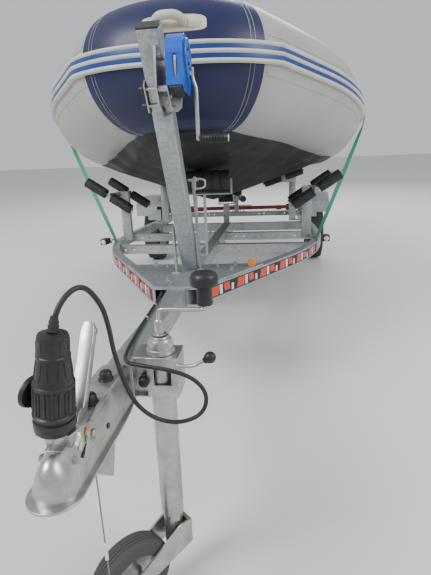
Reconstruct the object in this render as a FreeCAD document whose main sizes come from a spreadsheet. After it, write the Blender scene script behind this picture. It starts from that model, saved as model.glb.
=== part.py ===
# Inflatable boat with a V bottom and an outboard motor, on the trailer that it is parked on.
# Millimetres. +X is the boat's port side, +Y runs aft, +Z is up, the floor is Z = 0.
# A station is a distance aft of a line just ahead of the coupling; y_of turns it into a Y.
# Every piece is drawn on a level frame. The trailer stands nose up on its jockey wheel, so
# the pieces are turned about the axle by park_pitch as they are written.
import FreeCAD, Part
import math
import os
import Sketcher
from FreeCAD import Placement, Rotation, Vector

document = FreeCAD.newDocument("boat_on_trailer")
sheet = document.addObject("Spreadsheet::Sheet", "sizes")

# Driving dimensions: name, size in millimetres or degrees, what it is
SIZES = (
    ("drawbar_side", 70, "square drawbar tube"),
    ("tube_wall", 4, "wall of the drawbar and the rails"),
    ("drawbar_front", 300, "station of the drawbar's front end, inside the coupling"),
    ("drawbar_rear", 3480, "station of the drawbar's open rear end"),
    ("frame_top", 462, "height of the drawbar's and the rails' top faces"),
    ("rail_width", 50, "side rail across"),
    ("rail_half_span", 750, "centre to the rails' outer faces, abaft the bend"),
    ("rail_angle", 30, "rails off the centre line, ahead of the bend"),
    ("rail_bend_radius", 2000, "radius of the rails' bend, on their centre line"),
    ("rail_front", 1190, "station of the rails' open front ends"),
    ("rail_rear", 4880, "station of the rails' rear ends"),
    ("plate_thickness", 8, "plates that tie the rails to the drawbar"),
    ("plate_length", 430, "length of those plates"),
    ("cross_height", 56, "cross members, from the rails' undersides up"),
    ("cross_depth", 60, "cross members, fore and aft"),
    ("cross_front", 2320, "station of the front cross member"),
    ("cross_middle", 2860, "station of the middle cross member"),
    ("cross_rear", 4700, "station of the rear cross member"),
    ("cross_hole", 13, "paired bolt holes in the cross members"),
    ("axle_station", 4160, "station of the wheels' axle"),
    ("axle_side", 80, "square axle tube under the rails"),
    ("swing_arm_reach", 130, "wheel centre abaft the axle tube's centre"),
    ("wheel_gap", 22.5, "side rails' outer faces to the tyres"),
    ("tyre_radius", 286, "tyre, outside"),
    ("tyre_width", 155, "tyre across"),
    ("rim_radius", 165, "rim's bead seat"),
    ("hub_radius", 62, "hub flange"),
    ("guard_gap", 62, "tyre to mudguard"),
    ("guard_width", 214, "mudguard across"),
    ("guard_sheet", 3, "mudguard wall"),
    ("post_side", 70, "square winch post"),
    ("post_lean", 30.5, "winch post forward of upright"),
    ("post_foot", 1540, "station of the post's centre line at the drawbar's top"),
    ("post_top", 1336, "height of the post's top, at its centre line"),
    ("brace_width", 32, "perforated braces beside the post"),
    ("brace_sheet", 7, "perforated braces, thickness"),
    ("winch_height", 1225, "winch drum's axle above the floor"),
    ("winch_width", 84, "winch housing across"),
    ("winch_station", 965, "station of the winch's crank shaft"),
    ("winch_x", 58, "winch housing's inner side, right of the centre line"),
    ("winch_sheet", 3, "winch housing's wall"),
    ("pinion_radius", 12, "winch's pinion"),
    ("drum_ahead", 8, "winch drum's axle abaft the crank shaft"),
    ("drum_above", 46, "winch drum's axle above the crank shaft"),
    ("drum_radius", 36, "winch drum's flanges"),
    ("crank_reach", 206, "winch crank, axle to grip"),
    ("grip_length", 105, "winch crank's grip"),
    ("coupling_width", 94, "coupling's pressed head, across its lip"),
    ("coupling_rear", 480, "station of the coupling's rear end"),
    ("coupling_sheet", 5, "coupling's pressed wall"),
    ("lever_length", 186, "coupling's lever"),
    ("lever_width", 30, "coupling's lever"),
    ("lever_lean", 47.6, "coupling's lever above level"),
    ("lever_station", 262, "station of the lever's pivot"),
    ("plug_x", 10, "parked plug, right of the centre line"),
    ("plug_station", 213, "station of the parked plug"),
    ("plug_base", 488, "height of the parked plug's lower end"),
    ("plug_length", 180, "parked plug"),
    ("plug_radius", 34, "parked plug, at its lower body"),
    ("cable_diameter", 9.5, "plug's cable"),
    ("wire_diameter", 3, "breakaway wire"),
    ("strap_station", 2400, "station of the tie-down strap"),
    ("strap_width", 25, "tie-down strap"),
    ("strap_thickness", 2.4, "tie-down strap"),
    ("handle_angle", 25, "bow handle's place round the tube, above level"),
    ("handle_length", 284, "bow handle's patch"),
    ("handle_height", 92, "bow handle's patch"),
    ("handle_bar", 14, "radius of the bow handle's grip"),
    ("ball_radius", 25, "towing ball"),
    ("ball_station", 178, "station of the towing ball's centre"),
    ("ball_height", 418, "height of the towing ball's centre"),
    ("jockey_x", 100, "jockey wheel's tube, right of the centre line"),
    ("jockey_station", 530, "jockey wheel's tube"),
    ("jockey_tube_radius", 30, "jockey wheel's outer tube"),
    ("jockey_stem_radius", 25, "jockey wheel's inner tube"),
    ("jockey_tube_foot", 33, "outer tube's foot, above the level frame's floor"),
    ("jockey_stem_foot", -68, "inner tube's foot, above the level frame's floor"),
    ("jockey_wheel_radius", 108, "jockey wheel"),
    ("jockey_wheel_width", 56, "jockey wheel across"),
    ("jockey_trail", 138, "jockey wheel's axle off its stem"),
    ("jockey_trail_angle", 42, "trail's turn from straight ahead, to starboard"),
    ("jockey_rim_radius", 66, "jockey wheel's rim"),
    ("clamp_low", 385, "jockey clamp's lower face"),
    ("clamp_high", 488, "jockey clamp's upper face"),
    ("spindle_radius", 8, "jockey wheel's screw spindle"),
    ("crank_rod_radius", 5.5, "jockey crank's bent rod"),
    ("knob_radius", 33, "jockey crank's knob"),
    ("jockey_crank_reach", 112, "jockey crank, stem to knob"),
    ("park_pitch", 3, "nose-up pitch of the parked trailer"),
    ("tube_radius", 240, "boat's buoyancy tubes"),
    ("tube_half_span", 690, "centre to the tubes' centre lines"),
    ("tube_height", 1182, "height of the tubes' centre lines, aft"),
    ("bow_station", 1480, "tubes' centre line, at the bow"),
    ("bow_half_flat", 40, "straight stretch across the bow, half"),
    ("bow_turn", 52, "first bend of the tubes"),
    ("bow_bend_radius", 266, "first bend of the tubes, on their centre line"),
    ("side_bend_radius", 1300, "second bend of the tubes, on their centre line"),
    ("sheer_angle", 6, "rise of the tubes towards the bow"),
    ("sheer_radius", 3000, "radius of that rise"),
    ("transom_station", 4790, "transom's front face"),
    ("transom_thickness", 35, "transom"),
    ("transom_drop", 62, "transom's top below the tubes' centre lines"),
    ("tube_rear", 5150, "station of the tubes' rear ends"),
    ("tail_radius", 105, "tubes' end caps"),
    ("strake_height", 92, "rubbing strake"),
    ("strake_thickness", 12, "rubbing strake's web"),
    ("rib_height", 8, "rubbing strake's three ribs"),
    ("floor_drop", 197, "floor board's underside below the tubes' centre lines"),
    ("floor_thickness", 12, "floor board"),
    ("keel_drop", 270, "keel below the floor board, at the transom"),
    ("hull_half_width", 630, "chines at the transom"),
    ("chine_drop", 70, "chines below the floor board, at the transom"),
    ("thwart_station", 3850, "thwart's front edge"),
    ("thwart_width", 230, "thwart, fore and aft"),
    ("thwart_lift", 108, "thwart's underside above the tubes' centre lines"),
    ("thwart_thickness", 24, "thwart"),
    ("steer_offset", 130, "motor's steering axis abaft the transom"),
    ("prop_height", 600, "propeller shaft's height"),
    ("prop_radius", 108, "propeller"),
    ("cowl_width", 300, "motor's cowl"),
    ("cowl_length", 470, "motor's cowl"),
    ("cowl_bottom", 1185, "height of the cowl's lower edge"),
    ("cowl_top", 1540, "height of the cowl's top"),
    ("cowl_wall", 6, "motor's cowl"),
    ("lamp_bar_station", 5220, "lamp bar's front face"),
    ("lamp_bar_height", 45, "lamp bar"),
    ("lamp_bar_depth", 40, "lamp bar"),
    ("lamp_bar_half_span", 800, "lamp bar"),
    ("lamp_depth", 45, "tail lamps"),
    ("roller_radius", 32, "side rollers"),
    ("roller_length", 150, "side rollers"),
    ("roller_post_side", 60, "posts of the side rollers"),
    ("keel_roller_radius", 38, "keel rollers"),
    ("seat_gap", 0.3, "clearance between parts that seat on curved faces"),
    ("running_gap", 0.05, "clearance between a shaft and its bore"),
)


class Measure:
    """A length or an angle: its value and the sheet expression that gives it."""

    def __init__(self, value, text):
        self.value = float(value)
        self.text = text

    def __float__(self):
        return self.value

    def joined(self, other, sign, value):
        return Measure(value, f"({self.text} {sign} {other.text})")

    def __add__(self, other):
        other = measure(other)
        return self.joined(other, "+", self.value + other.value)

    def __sub__(self, other):
        other = measure(other)
        return self.joined(other, "-", self.value - other.value)

    def __mul__(self, other):
        other = measure(other)
        return self.joined(other, "*", self.value * other.value)

    def __truediv__(self, other):
        other = measure(other)
        return self.joined(other, "/", self.value / other.value)

    def __radd__(self, other):
        return measure(other) + self

    def __rsub__(self, other):
        return measure(other) - self

    def __rmul__(self, other):
        return measure(other) * self

    def __neg__(self):
        return measure(0) - self


def measure(item):
    if isinstance(item, Measure):
        return item
    return Measure(item, repr(float(item)))


def sine(angle):
    return Measure(math.sin(math.radians(angle.value)), f"sin({angle.text})")


def cosine(angle):
    return Measure(math.cos(math.radians(angle.value)), f"cos({angle.text})")


def root(item):
    return Measure(math.sqrt(item.value), f"sqrt({item.text})")


class Sizes:
    """The sheet's cells, read by name as measures."""

    def __getattr__(self, name):
        return Measure(sheet.get(name), f"<<sizes>>.{name}")


for row, (name, value, note) in enumerate(SIZES, 1):
    sheet.set(f"A{row}", name)
    sheet.set(f"B{row}", str(value))
    sheet.setAlias(f"B{row}", name)
    sheet.set(f"C{row}", note)
document.recompute()
S = Sizes()
sub_parts = []

nose_station = S.ball_station - S.ball_radius - 33
rear_station = S.lamp_bar_station + S.lamp_bar_depth + S.lamp_depth
middle_station = (nose_station + rear_station) / 2


def y_of(station):
    """Y of a station: the origin lies midway between the coupling's nose and the tail lamps."""
    return measure(station) - middle_station


def sub_part(name, thing):
    """Name a finished piece of the object."""
    thing.Label = name
    sub_parts.append(thing)
    return thing


def bind(thing, path, item):
    """Set a property from a number, or from the sheet where the item is a measure."""
    if isinstance(item, Measure):
        thing.setExpression(path, item.text)
    else:
        thing.setExpression(path, repr(float(item)))


def place(thing, spot, turn=None):
    thing.Placement = Placement(Vector(*[float(v) for v in spot]), turn or Rotation())
    for axis, item in zip("xyz", spot):
        bind(thing, f"Placement.Base.{axis}", item)
    return thing


def block(name, low, high):
    """A box between two corners."""
    thing = document.addObject("Part::Box", name)
    for path, a, b in zip(("Length", "Width", "Height"), low, high):
        bind(thing, path, measure(b) - measure(a))
    return place(thing, low)


AXES = {"x": Vector(1, 0, 0), "y": Vector(0, 1, 0), "z": Vector(0, 0, 1)}


def rod(name, start, axis, length, radius):
    """A round bar from a start point, along a named axis or a vector."""
    thing = document.addObject("Part::Cylinder", name)
    bind(thing, "Radius", radius)
    bind(thing, "Height", length)
    way = AXES[axis] if isinstance(axis, str) else axis
    return place(thing, start, Rotation(Vector(0, 0, 1), way))


def fused(name, things):
    thing = document.addObject("Part::MultiFuse", name)
    thing.Shapes = list(things)
    return thing


def without(name, base, tool):
    thing = document.addObject("Part::Cut", name)
    thing.Base = base
    thing.Tool = tool
    return thing


def formed(name, shape):
    """A piece whose shape is worked out here from the sheet's sizes."""
    thing = document.addObject("Part::Feature", name)
    own = Placement(shape.Placement)
    thing.Shape = shape
    thing.Placement = own
    return thing


def origin_plane(body, role):
    for feature in body.Origin.OriginFeatures:
        if feature.Role == role:
            return feature
    raise ValueError(role)


def sketch_on(body, name, role):
    sketch = body.newObject("Sketcher::SketchObject", name)
    sketch.AttachmentSupport = [(origin_plane(body, role), "")]
    sketch.MapMode = "FlatFace"
    return sketch


def fix_point(sketch, geometry, end, spot):
    """Tie a point of a sketch to the sheet."""
    for kind, item in zip(("DistanceX", "DistanceY"), spot):
        item = measure(item)
        rule = Sketcher.Constraint(kind, -1, 1, geometry, end, item.value)
        index = sketch.addConstraint(rule)
        sketch.setExpression(f"Constraints[{index}]", item.text)


def draw_outline(sketch, points):
    """A closed outline of straight edges."""
    first = sketch.GeometryCount
    count = len(points)
    ends = [Vector(float(a), float(b), 0) for a, b in points]
    for i in range(count):
        sketch.addGeometry(Part.LineSegment(ends[i], ends[(i + 1) % count]))
    for i in range(count):
        sketch.addConstraint(Sketcher.Constraint("Coincident", first + i, 2, first + (i + 1) % count, 1))
    for i, point in enumerate(points):
        fix_point(sketch, first + i, 1, point)


def draw_circle(sketch, centre, radius):
    radius = measure(radius)
    circle = Part.Circle(Vector(float(centre[0]), float(centre[1]), 0), Vector(0, 0, 1), radius.value)
    index = sketch.addGeometry(circle)
    fix_point(sketch, index, 3, centre)
    rule = sketch.addConstraint(Sketcher.Constraint("Radius", index, radius.value))
    sketch.setExpression(f"Constraints[{rule}]", radius.text)


def prism(name, role, points, length, spot=(0, 0, 0), turn=None, circles=()):
    """A body padded both ways from a plane: an outline, with round holes left out of it."""
    body = document.addObject("PartDesign::Body", name)
    sketch = sketch_on(body, name + "_outline", role)
    draw_outline(sketch, points)
    for centre, radius in circles:
        draw_circle(sketch, centre, radius)
    pad = body.newObject("PartDesign::Pad", name + "_pad")
    pad.Profile = sketch
    pad.SideType = "Symmetric"
    bind(pad, "Length", length)
    sketch.Visibility = False
    return place(body, spot, turn)


def turned(name, role, points, axis, spot=(0, 0, 0), turn=None):
    """A body turned about its sketch's own vertical or horizontal axis."""
    body = document.addObject("PartDesign::Body", name)
    sketch = sketch_on(body, name + "_outline", role)
    draw_outline(sketch, points)
    wheel = body.newObject("PartDesign::Revolution", name + "_turn")
    wheel.Profile = sketch
    wheel.ReferenceAxis = (sketch, [axis])
    wheel.Angle = 360
    return place(body, spot, turn)


def arc_by_middle(first, middle, last):
    return Part.Arc(first, middle, last).toShape()


def bent_path(start, heading, legs, up=Vector(0, 0, 1)):
    """Edges of straight runs and tangent arcs. A leg is (length, None) or (radius, turn in degrees)."""
    edges = []
    spot = Vector(start)
    way = Vector(heading)
    way.normalize()
    for amount, turn in legs:
        if turn is None:
            if amount > 1e-6:
                edges.append(Part.LineSegment(spot, spot + way * amount).toShape())
            spot = spot + way * amount
            continue
        side = up.cross(way) * math.copysign(1, turn)
        centre = spot + side * amount
        half = Rotation(up, turn / 2)
        whole = Rotation(up, turn)
        middle = centre + half.multVec(spot - centre)
        last = centre + whole.multVec(spot - centre)
        edges.append(arc_by_middle(spot, middle, last))
        spot = last
        way = whole.multVec(way)
    return edges, spot, way


def swept(edges, profile, binormal=None):
    """A solid of one closed profile along a path."""
    maker = Part.BRepOffsetAPI.MakePipeShell(Part.Wire(edges))
    if binormal is None:
        maker.setFrenetMode(False)
    else:
        maker.setBiNormalMode(binormal)
    maker.setTransitionMode(1)
    maker.add(profile, False, False)
    maker.build()
    maker.makeSolid()
    solid = maker.shape()
    if solid.Volume < 0:
        solid.reverse()
    return solid


def ring(spot, way, radius):
    return Part.Wire([Part.makeCircle(radius, spot, way)])


def outline_wire(points):
    return Part.makePolygon([Vector(*p) for p in points] + [Vector(*points[0])])


def mirrored(shape):
    """The same shape on the other side of the centre plane."""
    return shape.mirror(Vector(0, 0, 0), Vector(1, 0, 0))


# Levels and lines that several pieces share
half_bar = S.drawbar_side / 2
frame_bottom = S.frame_top - S.drawbar_side
rail_centre = S.rail_half_span - S.rail_width / 2
rail_skew = S.rail_width / 2 / cosine(S.rail_angle)
rail_start_x = half_bar + rail_skew + 1
rail_bend_side = S.rail_bend_radius * (1 - cosine(S.rail_angle))
rail_straight = (rail_centre - rail_start_x - rail_bend_side) / sine(S.rail_angle)
rail_bend_start = S.rail_front + rail_straight * cosine(S.rail_angle)
rail_bend_end = rail_bend_start + S.rail_bend_radius * sine(S.rail_angle)
wheel_half_track = S.rail_half_span + S.wheel_gap + S.tyre_width / 2
axle_half_span = S.rail_half_span - 10
axle_y = y_of(S.axle_station)
floor_level = S.tube_height - S.floor_drop
keel_level = floor_level - S.keel_drop
chine_level = floor_level - S.chine_drop
transom_top = S.tube_height - S.transom_drop
thwart_level = S.tube_height + S.thwart_lift
beam_station = S.axle_station - S.swing_arm_reach
post_way = Vector(0, -math.sin(math.radians(float(S.post_lean))), math.cos(math.radians(float(S.post_lean))))
deck_level = S.frame_top + S.plate_thickness
bow_y = y_of(S.bow_station)


def rounded_rectangle(centre, across, up, width, height, radius):
    """A wire in the plane of two unit vectors, with round corners."""
    edges = []
    corners = ((1, -1), (1, 1), (-1, 1), (-1, -1))
    ends = []
    for sx, sy in corners:
        middle = centre + across * sx * (width / 2 - radius) + up * sy * (height / 2 - radius)
        first, last = (up * sy, across * sx) if sx * sy < 0 else (across * sx, up * sy)
        bulge = (across * sx + up * sy) * math.sqrt(0.5)
        edges.append(arc_by_middle(middle + first * radius, middle + bulge * radius, middle + last * radius))
        ends.append((middle + first * radius, middle + last * radius))
    for i in range(4):
        edges.append(Part.LineSegment(ends[i][1], ends[(i + 1) % 4][0]).toShape())
    return Part.Wire(Part.__sortEdges__(edges))


def square_tube(length, side, wall, corner=5.0):
    """A hollow square bar along +Z from the origin, centred on it."""
    x, y = Vector(1, 0, 0), Vector(0, 1, 0)
    outside = Part.Face(rounded_rectangle(Vector(), x, y, side, side, corner))
    inside = Part.Face(rounded_rectangle(Vector(), x, y, side - 2 * wall, side - 2 * wall, corner - wall * 0.75))
    return outside.cut(inside).extrude(Vector(0, 0, length))


# Drawbar and side rails
def make_drawbar():
    length = float(S.drawbar_rear - S.drawbar_front)
    bar = square_tube(length, float(S.drawbar_side), float(S.tube_wall))
    bar.Placement = Placement(
        Vector(0, float(y_of(S.drawbar_front)), float(S.frame_top - half_bar)),
        Rotation(Vector(1, 0, 0), -90),
    )
    sub_part("drawbar", formed("drawbar", bar))


def rail_edges(inset):
    """Plan path of the port rail, moved towards the centre line by inset, ahead of its front end too."""
    angle = math.radians(float(S.rail_angle))
    way = Vector(math.sin(angle), math.cos(angle), 0)
    inward = Vector(-way.y, way.x, 0)
    run_up = 80.0
    height = float(S.frame_top - half_bar)
    start = Vector(float(rail_start_x), float(y_of(S.rail_front)), height) - way * run_up + inward * inset
    legs = (
        (run_up + float(rail_straight), None),
        (float(S.rail_bend_radius) - inset, float(S.rail_angle)),
        (float(S.rail_rear - rail_bend_end), None),
    )
    edges, last, _ = bent_path(start, way, legs)
    return edges, start, way, inward, last


def make_rails():
    edges, start, way, inward, _ = rail_edges(0)
    up = Vector(0, 0, 1)
    wall = float(S.tube_wall)
    width, height = float(S.rail_width), float(S.drawbar_side)
    outside = swept(edges, rounded_rectangle(start, inward, up, width, height, 5.0), up)
    inside = swept(edges, rounded_rectangle(start, inward, up, width - 2 * wall, height - 2 * wall, 2.0), up)
    ahead = Part.makeBox(400, 200, 200, Vector(-100, float(y_of(S.rail_front)) - 200, float(frame_bottom) - 50))
    rail = outside.cut(inside).cut(ahead)
    sub_part("rail_port", formed("rail_port", rail))
    sub_part("rail_starboard", formed("rail_starboard", mirrored(rail)))
    return outside.cut(ahead)


def inside_of_rails(low, height):
    """The plan between the rails' inner faces, as a slab."""
    edges, start, _, _, last = rail_edges(float(S.rail_width) / 2)
    twin = [mirrored(edge) for edge in edges]
    start.z = last.z = float(S.frame_top - half_bar)
    front = Part.LineSegment(Vector(-start.x, start.y, start.z), start).toShape()
    rear = Part.LineSegment(last, Vector(-last.x, last.y, last.z)).toShape()
    face = Part.Face(Part.Wire(Part.__sortEdges__(edges + twin + [front, rear])))
    face.translate(Vector(0, 0, low - start.z))
    return face.extrude(Vector(0, 0, height))


# Cross members: station, the holes' pairs off the centre line
CROSS_MEMBERS = (
    (S.cross_front, (150, 560)),
    (S.cross_middle, (150, 600)),
    (S.cross_rear, (300, 600)),
)


def make_cross_members():
    wall = float(S.tube_wall)
    height, depth = float(S.cross_height), float(S.cross_depth)
    low = float(frame_bottom)
    bar = Part.makeBox(
        float(S.drawbar_side), float(S.drawbar_rear - S.drawbar_front), float(S.drawbar_side),
        Vector(-float(half_bar), float(y_of(S.drawbar_front)), low),
    )
    plan = inside_of_rails(low, height)
    reach = float(S.rail_half_span)
    beams = []
    for station, pairs in CROSS_MEMBERS:
        front = float(y_of(station))
        outside = Part.makeBox(2 * reach, depth, height, Vector(-reach, front, low))
        inside = Part.makeBox(2 * reach, depth, height - 2 * wall, Vector(-reach, front + wall, low + wall))
        beam = outside.cut(inside)
        for x in pairs:
            for side in (-1, 1):
                for step in (-30, 30):
                    spot = Vector(side * x + step, front - 1, low + height / 2)
                    beam = beam.cut(Part.makeCylinder(float(S.cross_hole) / 2, wall + 2, spot, Vector(0, 1, 0)))
        beams += beam.common(plan).cut(bar).Solids
    sub_part("cross_members", formed("cross_members", Part.makeCompound(beams)))


def make_frame_plates():
    """Upper and lower plate that clamp the rails' front ends to the drawbar."""
    rear = S.rail_front + S.plate_length
    slope = sine(S.rail_angle) / cosine(S.rail_angle)
    narrow = rail_start_x + rail_skew - 4
    wide = narrow + S.plate_length * slope
    front_y, rear_y = y_of(S.rail_front), y_of(rear)
    outline = ((-narrow, front_y), (narrow, front_y), (wide, rear_y), (-wide, rear_y))
    bolt = 6.5
    rows = []
    for step in (60, 250, 380):
        x = rail_start_x + step * slope
        for side in (-1, 1):
            rows.append(((x * side, front_y + step), bolt))
    levels = (("frame_plate_upper", S.frame_top + S.plate_thickness / 2),
              ("frame_plate_lower", frame_bottom - S.plate_thickness / 2))
    plates = [prism(name, "XY_Plane", outline, S.plate_thickness, (0, 0, level), circles=rows)
              for name, level in levels]
    sub_part("frame_plates", fused("frame_plates", plates))


# Wheels: swing arms and stub axles on the root, rims and tyres turning on them
def make_axle():
    beam_y = y_of(beam_station)
    half = S.axle_side / 2
    level = frame_bottom - half
    beam = block("axle_beam", (-axle_half_span, beam_y - half, level - half),
                 (axle_half_span, beam_y + half, level + half))
    sub_part("axle_beam", beam)
    arm_width = 24
    arms = []
    for side, name in ((1, "swing_arm_port"), (-1, "swing_arm_starboard")):
        inner = axle_half_span * side
        outer = (axle_half_span + arm_width) * side
        low_x, high_x = (inner, outer) if side > 0 else (outer, inner)
        drop = level - S.tyre_radius
        eye = 34
        outline = ((beam_y, level - half), (axle_y, S.tyre_radius - eye),
                   (axle_y + eye, S.tyre_radius), (axle_y, S.tyre_radius + eye),
                   (beam_y, level + half - 4), (beam_y - half, level + half - 4), (beam_y - half, level - half))
        arm = prism(name + "_plate", "YZ_Plane", outline, arm_width, ((low_x + high_x) / 2, 0, 0))
        stub_end = wheel_half_track + 40
        start_x = outer if side > 0 else -stub_end
        stub = rod(name + "_stub", (start_x, axle_y, S.tyre_radius), "x", stub_end - axle_half_span - arm_width, 18)
        arms += [arm, stub]
    sub_part("swing_arms", fused("swing_arms", arms))


def make_wheel(side, name):
    centre = (wheel_half_track * side, axle_y, S.tyre_radius)
    turn = Rotation(Vector(0, 0, 1), 0 if side > 0 else 180)
    bead = S.tyre_width / 2 - 14
    seat = S.rim_radius
    bore = measure(18) + S.running_gap
    rim_points = (
        (-bead, seat + 9), (-bead, seat - 5), (-bead + 12, seat - 6), (-bead + 26, seat - 20),
        (14, seat - 22), (24, seat - 62), (12, S.hub_radius + 12), (10, S.hub_radius), (-30, S.hub_radius),
        (-30, bore), (46, bore), (46, 32), (34, 38), (24, S.hub_radius), (30, S.hub_radius + 14),
        (32, seat - 58), (24, seat - 16), (bead - 22, seat - 14), (bead - 10, seat - 1), (bead, seat),
        (bead, seat + 9), (bead - 5, seat + 9), (bead - 6, seat), (bead - 14, seat), (bead - 30, seat - 8),
        (-bead + 30, seat - 8), (-bead + 14, seat), (-bead + 6, seat), (-bead + 5, seat + 9),
    )
    rim = turned(name + "_rim", "XZ_Plane", rim_points, "H_Axis", centre, turn)
    sub_part(name + "_rim", rim)
    half = S.tyre_width / 2
    low = seat + S.seat_gap
    top = S.tyre_radius
    tyre_points = (
        (-bead + 7, low), (-bead + 5, seat + 14), (-half + 4, seat + 34), (-half, seat + 58), (-half + 3, top - 32),
        (-half + 12, top - 12), (-half + 26, top - 3), (-20, top), (20, top), (half - 26, top - 3),
        (half - 12, top - 12), (half - 3, top - 32), (half, seat + 58), (half - 4, seat + 34), (bead - 5, seat + 14),
        (bead - 7, low), (bead - 16, low), (half - 16, seat + 58), (half - 18, top - 26), (-half + 18, top - 26),
        (-half + 16, seat + 58), (-bead + 16, low),
    )
    tyre = turned(name + "_tyre", "XZ_Plane", tyre_points, "H_Axis", centre, turn)
    sub_part(name + "_tyre", tyre)


def make_mudguards():
    sheet_thickness = S.guard_sheet
    reach = S.tyre_radius + S.guard_gap
    low = measure(505)
    shoulder = 606
    top = 690
    rise = 90
    outer = ((-reach, low), (-reach, shoulder), (rise - reach, top), (reach - rise, top), (reach, shoulder), (reach, low))
    bend = 1.2
    inner = ((reach - sheet_thickness, low), (reach - sheet_thickness, shoulder - bend),
             (reach - rise - bend, top - sheet_thickness), (rise - reach + bend, top - sheet_thickness),
             (sheet_thickness - reach, shoulder - bend), (sheet_thickness - reach, low))
    for side, name in ((1, "port"), (-1, "starboard")):
        x = wheel_half_track * side
        feet = [prism(f"guard_sheet_{name}", "YZ_Plane", outer + inner, S.guard_width, (x, axle_y, 0))]
        for end in (-1, 1):
            face = axle_y + (reach - sheet_thickness) * end
            near, far = (face, face + 5) if end < 0 else (face - 5, face)
            inner_x, outer_x = rail_centre - 18, wheel_half_track - 10
            low_x, high_x = (inner_x, outer_x) if side > 0 else (-outer_x, -inner_x)
            feet.append(block(f"guard_bracket_{name}_{end + 1}", (low_x, near, S.frame_top), (high_x, far, low + 60)))
        sub_part("mudguard_" + name, fused("mudguard_" + name, feet))


# Boat: the tubes' path starts on the centre line at the bow and runs out and aft on the port side
def tube_route():
    t = math.radians(float(S.bow_turn))
    first, second = float(S.bow_bend_radius), float(S.side_bend_radius)
    flat, span = float(S.bow_half_flat), float(S.tube_half_span)
    slant = (span - flat - first * math.sin(t) - second * (1 - math.sin(t))) / math.cos(t)
    depth = first * (1 - math.cos(t)) + slant * math.sin(t) + second * math.cos(t)
    sheer = math.radians(float(S.sheer_angle))
    rise = depth * math.sin(sheer) + float(S.sheer_radius) * (1 - math.cos(sheer))
    start = Vector(0, float(bow_y), float(S.tube_height) + rise)
    up = Vector(0, math.sin(sheer), math.cos(sheer))
    legs = ((flat, None), (first, float(S.bow_turn)), (slant, None), (second, 90 - float(S.bow_turn)))
    edges, spot, way = bent_path(start, Vector(1, 0, 0), legs, up)
    return start, up, edges, spot, way


def tube_halves(extra, rear_y):
    """Bow tube and port tube, their radius enlarged by extra."""
    radius = float(S.tube_radius) + extra
    start, _, edges, spot, way = tube_route()
    bow = swept(edges, ring(start, Vector(1, 0, 0), radius))
    both = bow.fuse(mirrored(bow)).removeSplitter()
    sheer_legs = ((float(S.sheer_radius), float(S.sheer_angle)),)
    rise, bend_end, level_way = bent_path(spot, way, sheer_legs, Vector(1, 0, 0))
    side_edges = rise + [Part.LineSegment(bend_end, Vector(bend_end.x, rear_y, bend_end.z)).toShape()]
    side = swept(side_edges, ring(spot, way, radius))
    return both, side


tail_start_y = y_of(S.transom_station + S.transom_thickness)


def make_tubes():
    rear_y = float(tail_start_y)
    both, side = tube_halves(0, rear_y)
    tail = Part.makeCone(
        float(S.tube_radius), float(S.tail_radius), float(S.tube_rear - S.transom_station - S.transom_thickness),
        Vector(float(S.tube_half_span), rear_y, float(S.tube_height)), Vector(0, 1, 0),
    )
    port = side.fuse(tail)
    sub_part("tube_bow", formed("tube_bow", both))
    sub_part("tube_port", formed("tube_port", port))
    sub_part("tube_starboard", formed("tube_starboard", mirrored(port)))
    gap = float(S.seat_gap)
    both, side = tube_halves(gap, rear_y + 200)
    return [both, side, mirrored(side)]


def make_strake():
    start, up, edges, spot, way = tube_route()
    out = Vector(0, -up.z, up.y)
    near = float(S.tube_radius + S.seat_gap)
    web = near + float(S.strake_thickness)
    crest = web + float(S.rib_height)
    half = math.asin(float(S.strake_height) / 2 / near)

    def at(radius, angle):
        return start + out * radius * math.cos(angle) + up * radius * math.sin(angle)

    points = [at(near, half), at(web, half)]
    for place_of_rib in (0.78, 0, -0.78):
        middle = place_of_rib * half
        points += [at(web, middle + 0.17 * half), at(crest, middle + 0.1 * half)]
        points += [at(crest, middle - 0.1 * half), at(web, middle - 0.17 * half)]
    points += [at(web, -half), at(near, -half)]
    lines = [Part.LineSegment(a, b).toShape() for a, b in zip(points, points[1:])]
    lines.append(arc_by_middle(points[-1], at(near, 0), points[0]))
    profile = Part.Wire(lines)
    rise, bend_end, _ = bent_path(spot, way, ((float(S.sheer_radius), float(S.sheer_angle)),), Vector(1, 0, 0))
    rear = Vector(bend_end.x, float(y_of(S.transom_station)), bend_end.z)
    half_strake = swept(edges + rise + [Part.LineSegment(bend_end, rear).toShape()], profile)
    strake = half_strake.fuse(mirrored(half_strake)).removeSplitter()
    sub_part("rubbing_strake", formed("rubbing_strake", strake))


# Hull sections ahead of the transom: station, half width, and chine, keel and top above the floor board's underside
HULL_SECTIONS = (
    (1500, 150, 61, 51, 135),
    (1700, 290, 35, 0, 95),
    (2170, 560, -35, -155, 0),
    (2450, 620, -60, -255, 0),
)


def hull_rows():
    """Sections from bow to transom, their heights above the floor that the trailer stands on."""
    deck = float(floor_level)
    rows = [(station, wide, deck + chine, deck + keel, deck + top) for station, wide, chine, keel, top in HULL_SECTIONS]
    rows.append((float(S.transom_station), float(S.hull_half_width), float(chine_level), float(keel_level), deck))
    return rows


def make_hull(tube_space):
    wires = []
    for station, half_width, chine, keel, top in hull_rows():
        y = float(y_of(station))
        outline = ((-half_width, y, top), (-half_width, y, chine), (0, y, keel), (half_width, y, chine), (half_width, y, top))
        wires.append(outline_wire(outline))
    hull = Part.makeLoft(wires, True, True)
    for tool in tube_space:
        hull = hull.cut(tool)
    sub_part("hull_bottom", formed("hull_bottom", biggest(hull)))


def biggest(shape):
    """The largest solid of a shape that a cut left in pieces."""
    return max(shape.Solids, key=lambda solid: solid.Volume)


FLOOR_OUTLINE = ((2180, 430), (2450, 540), (2700, 600))


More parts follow.
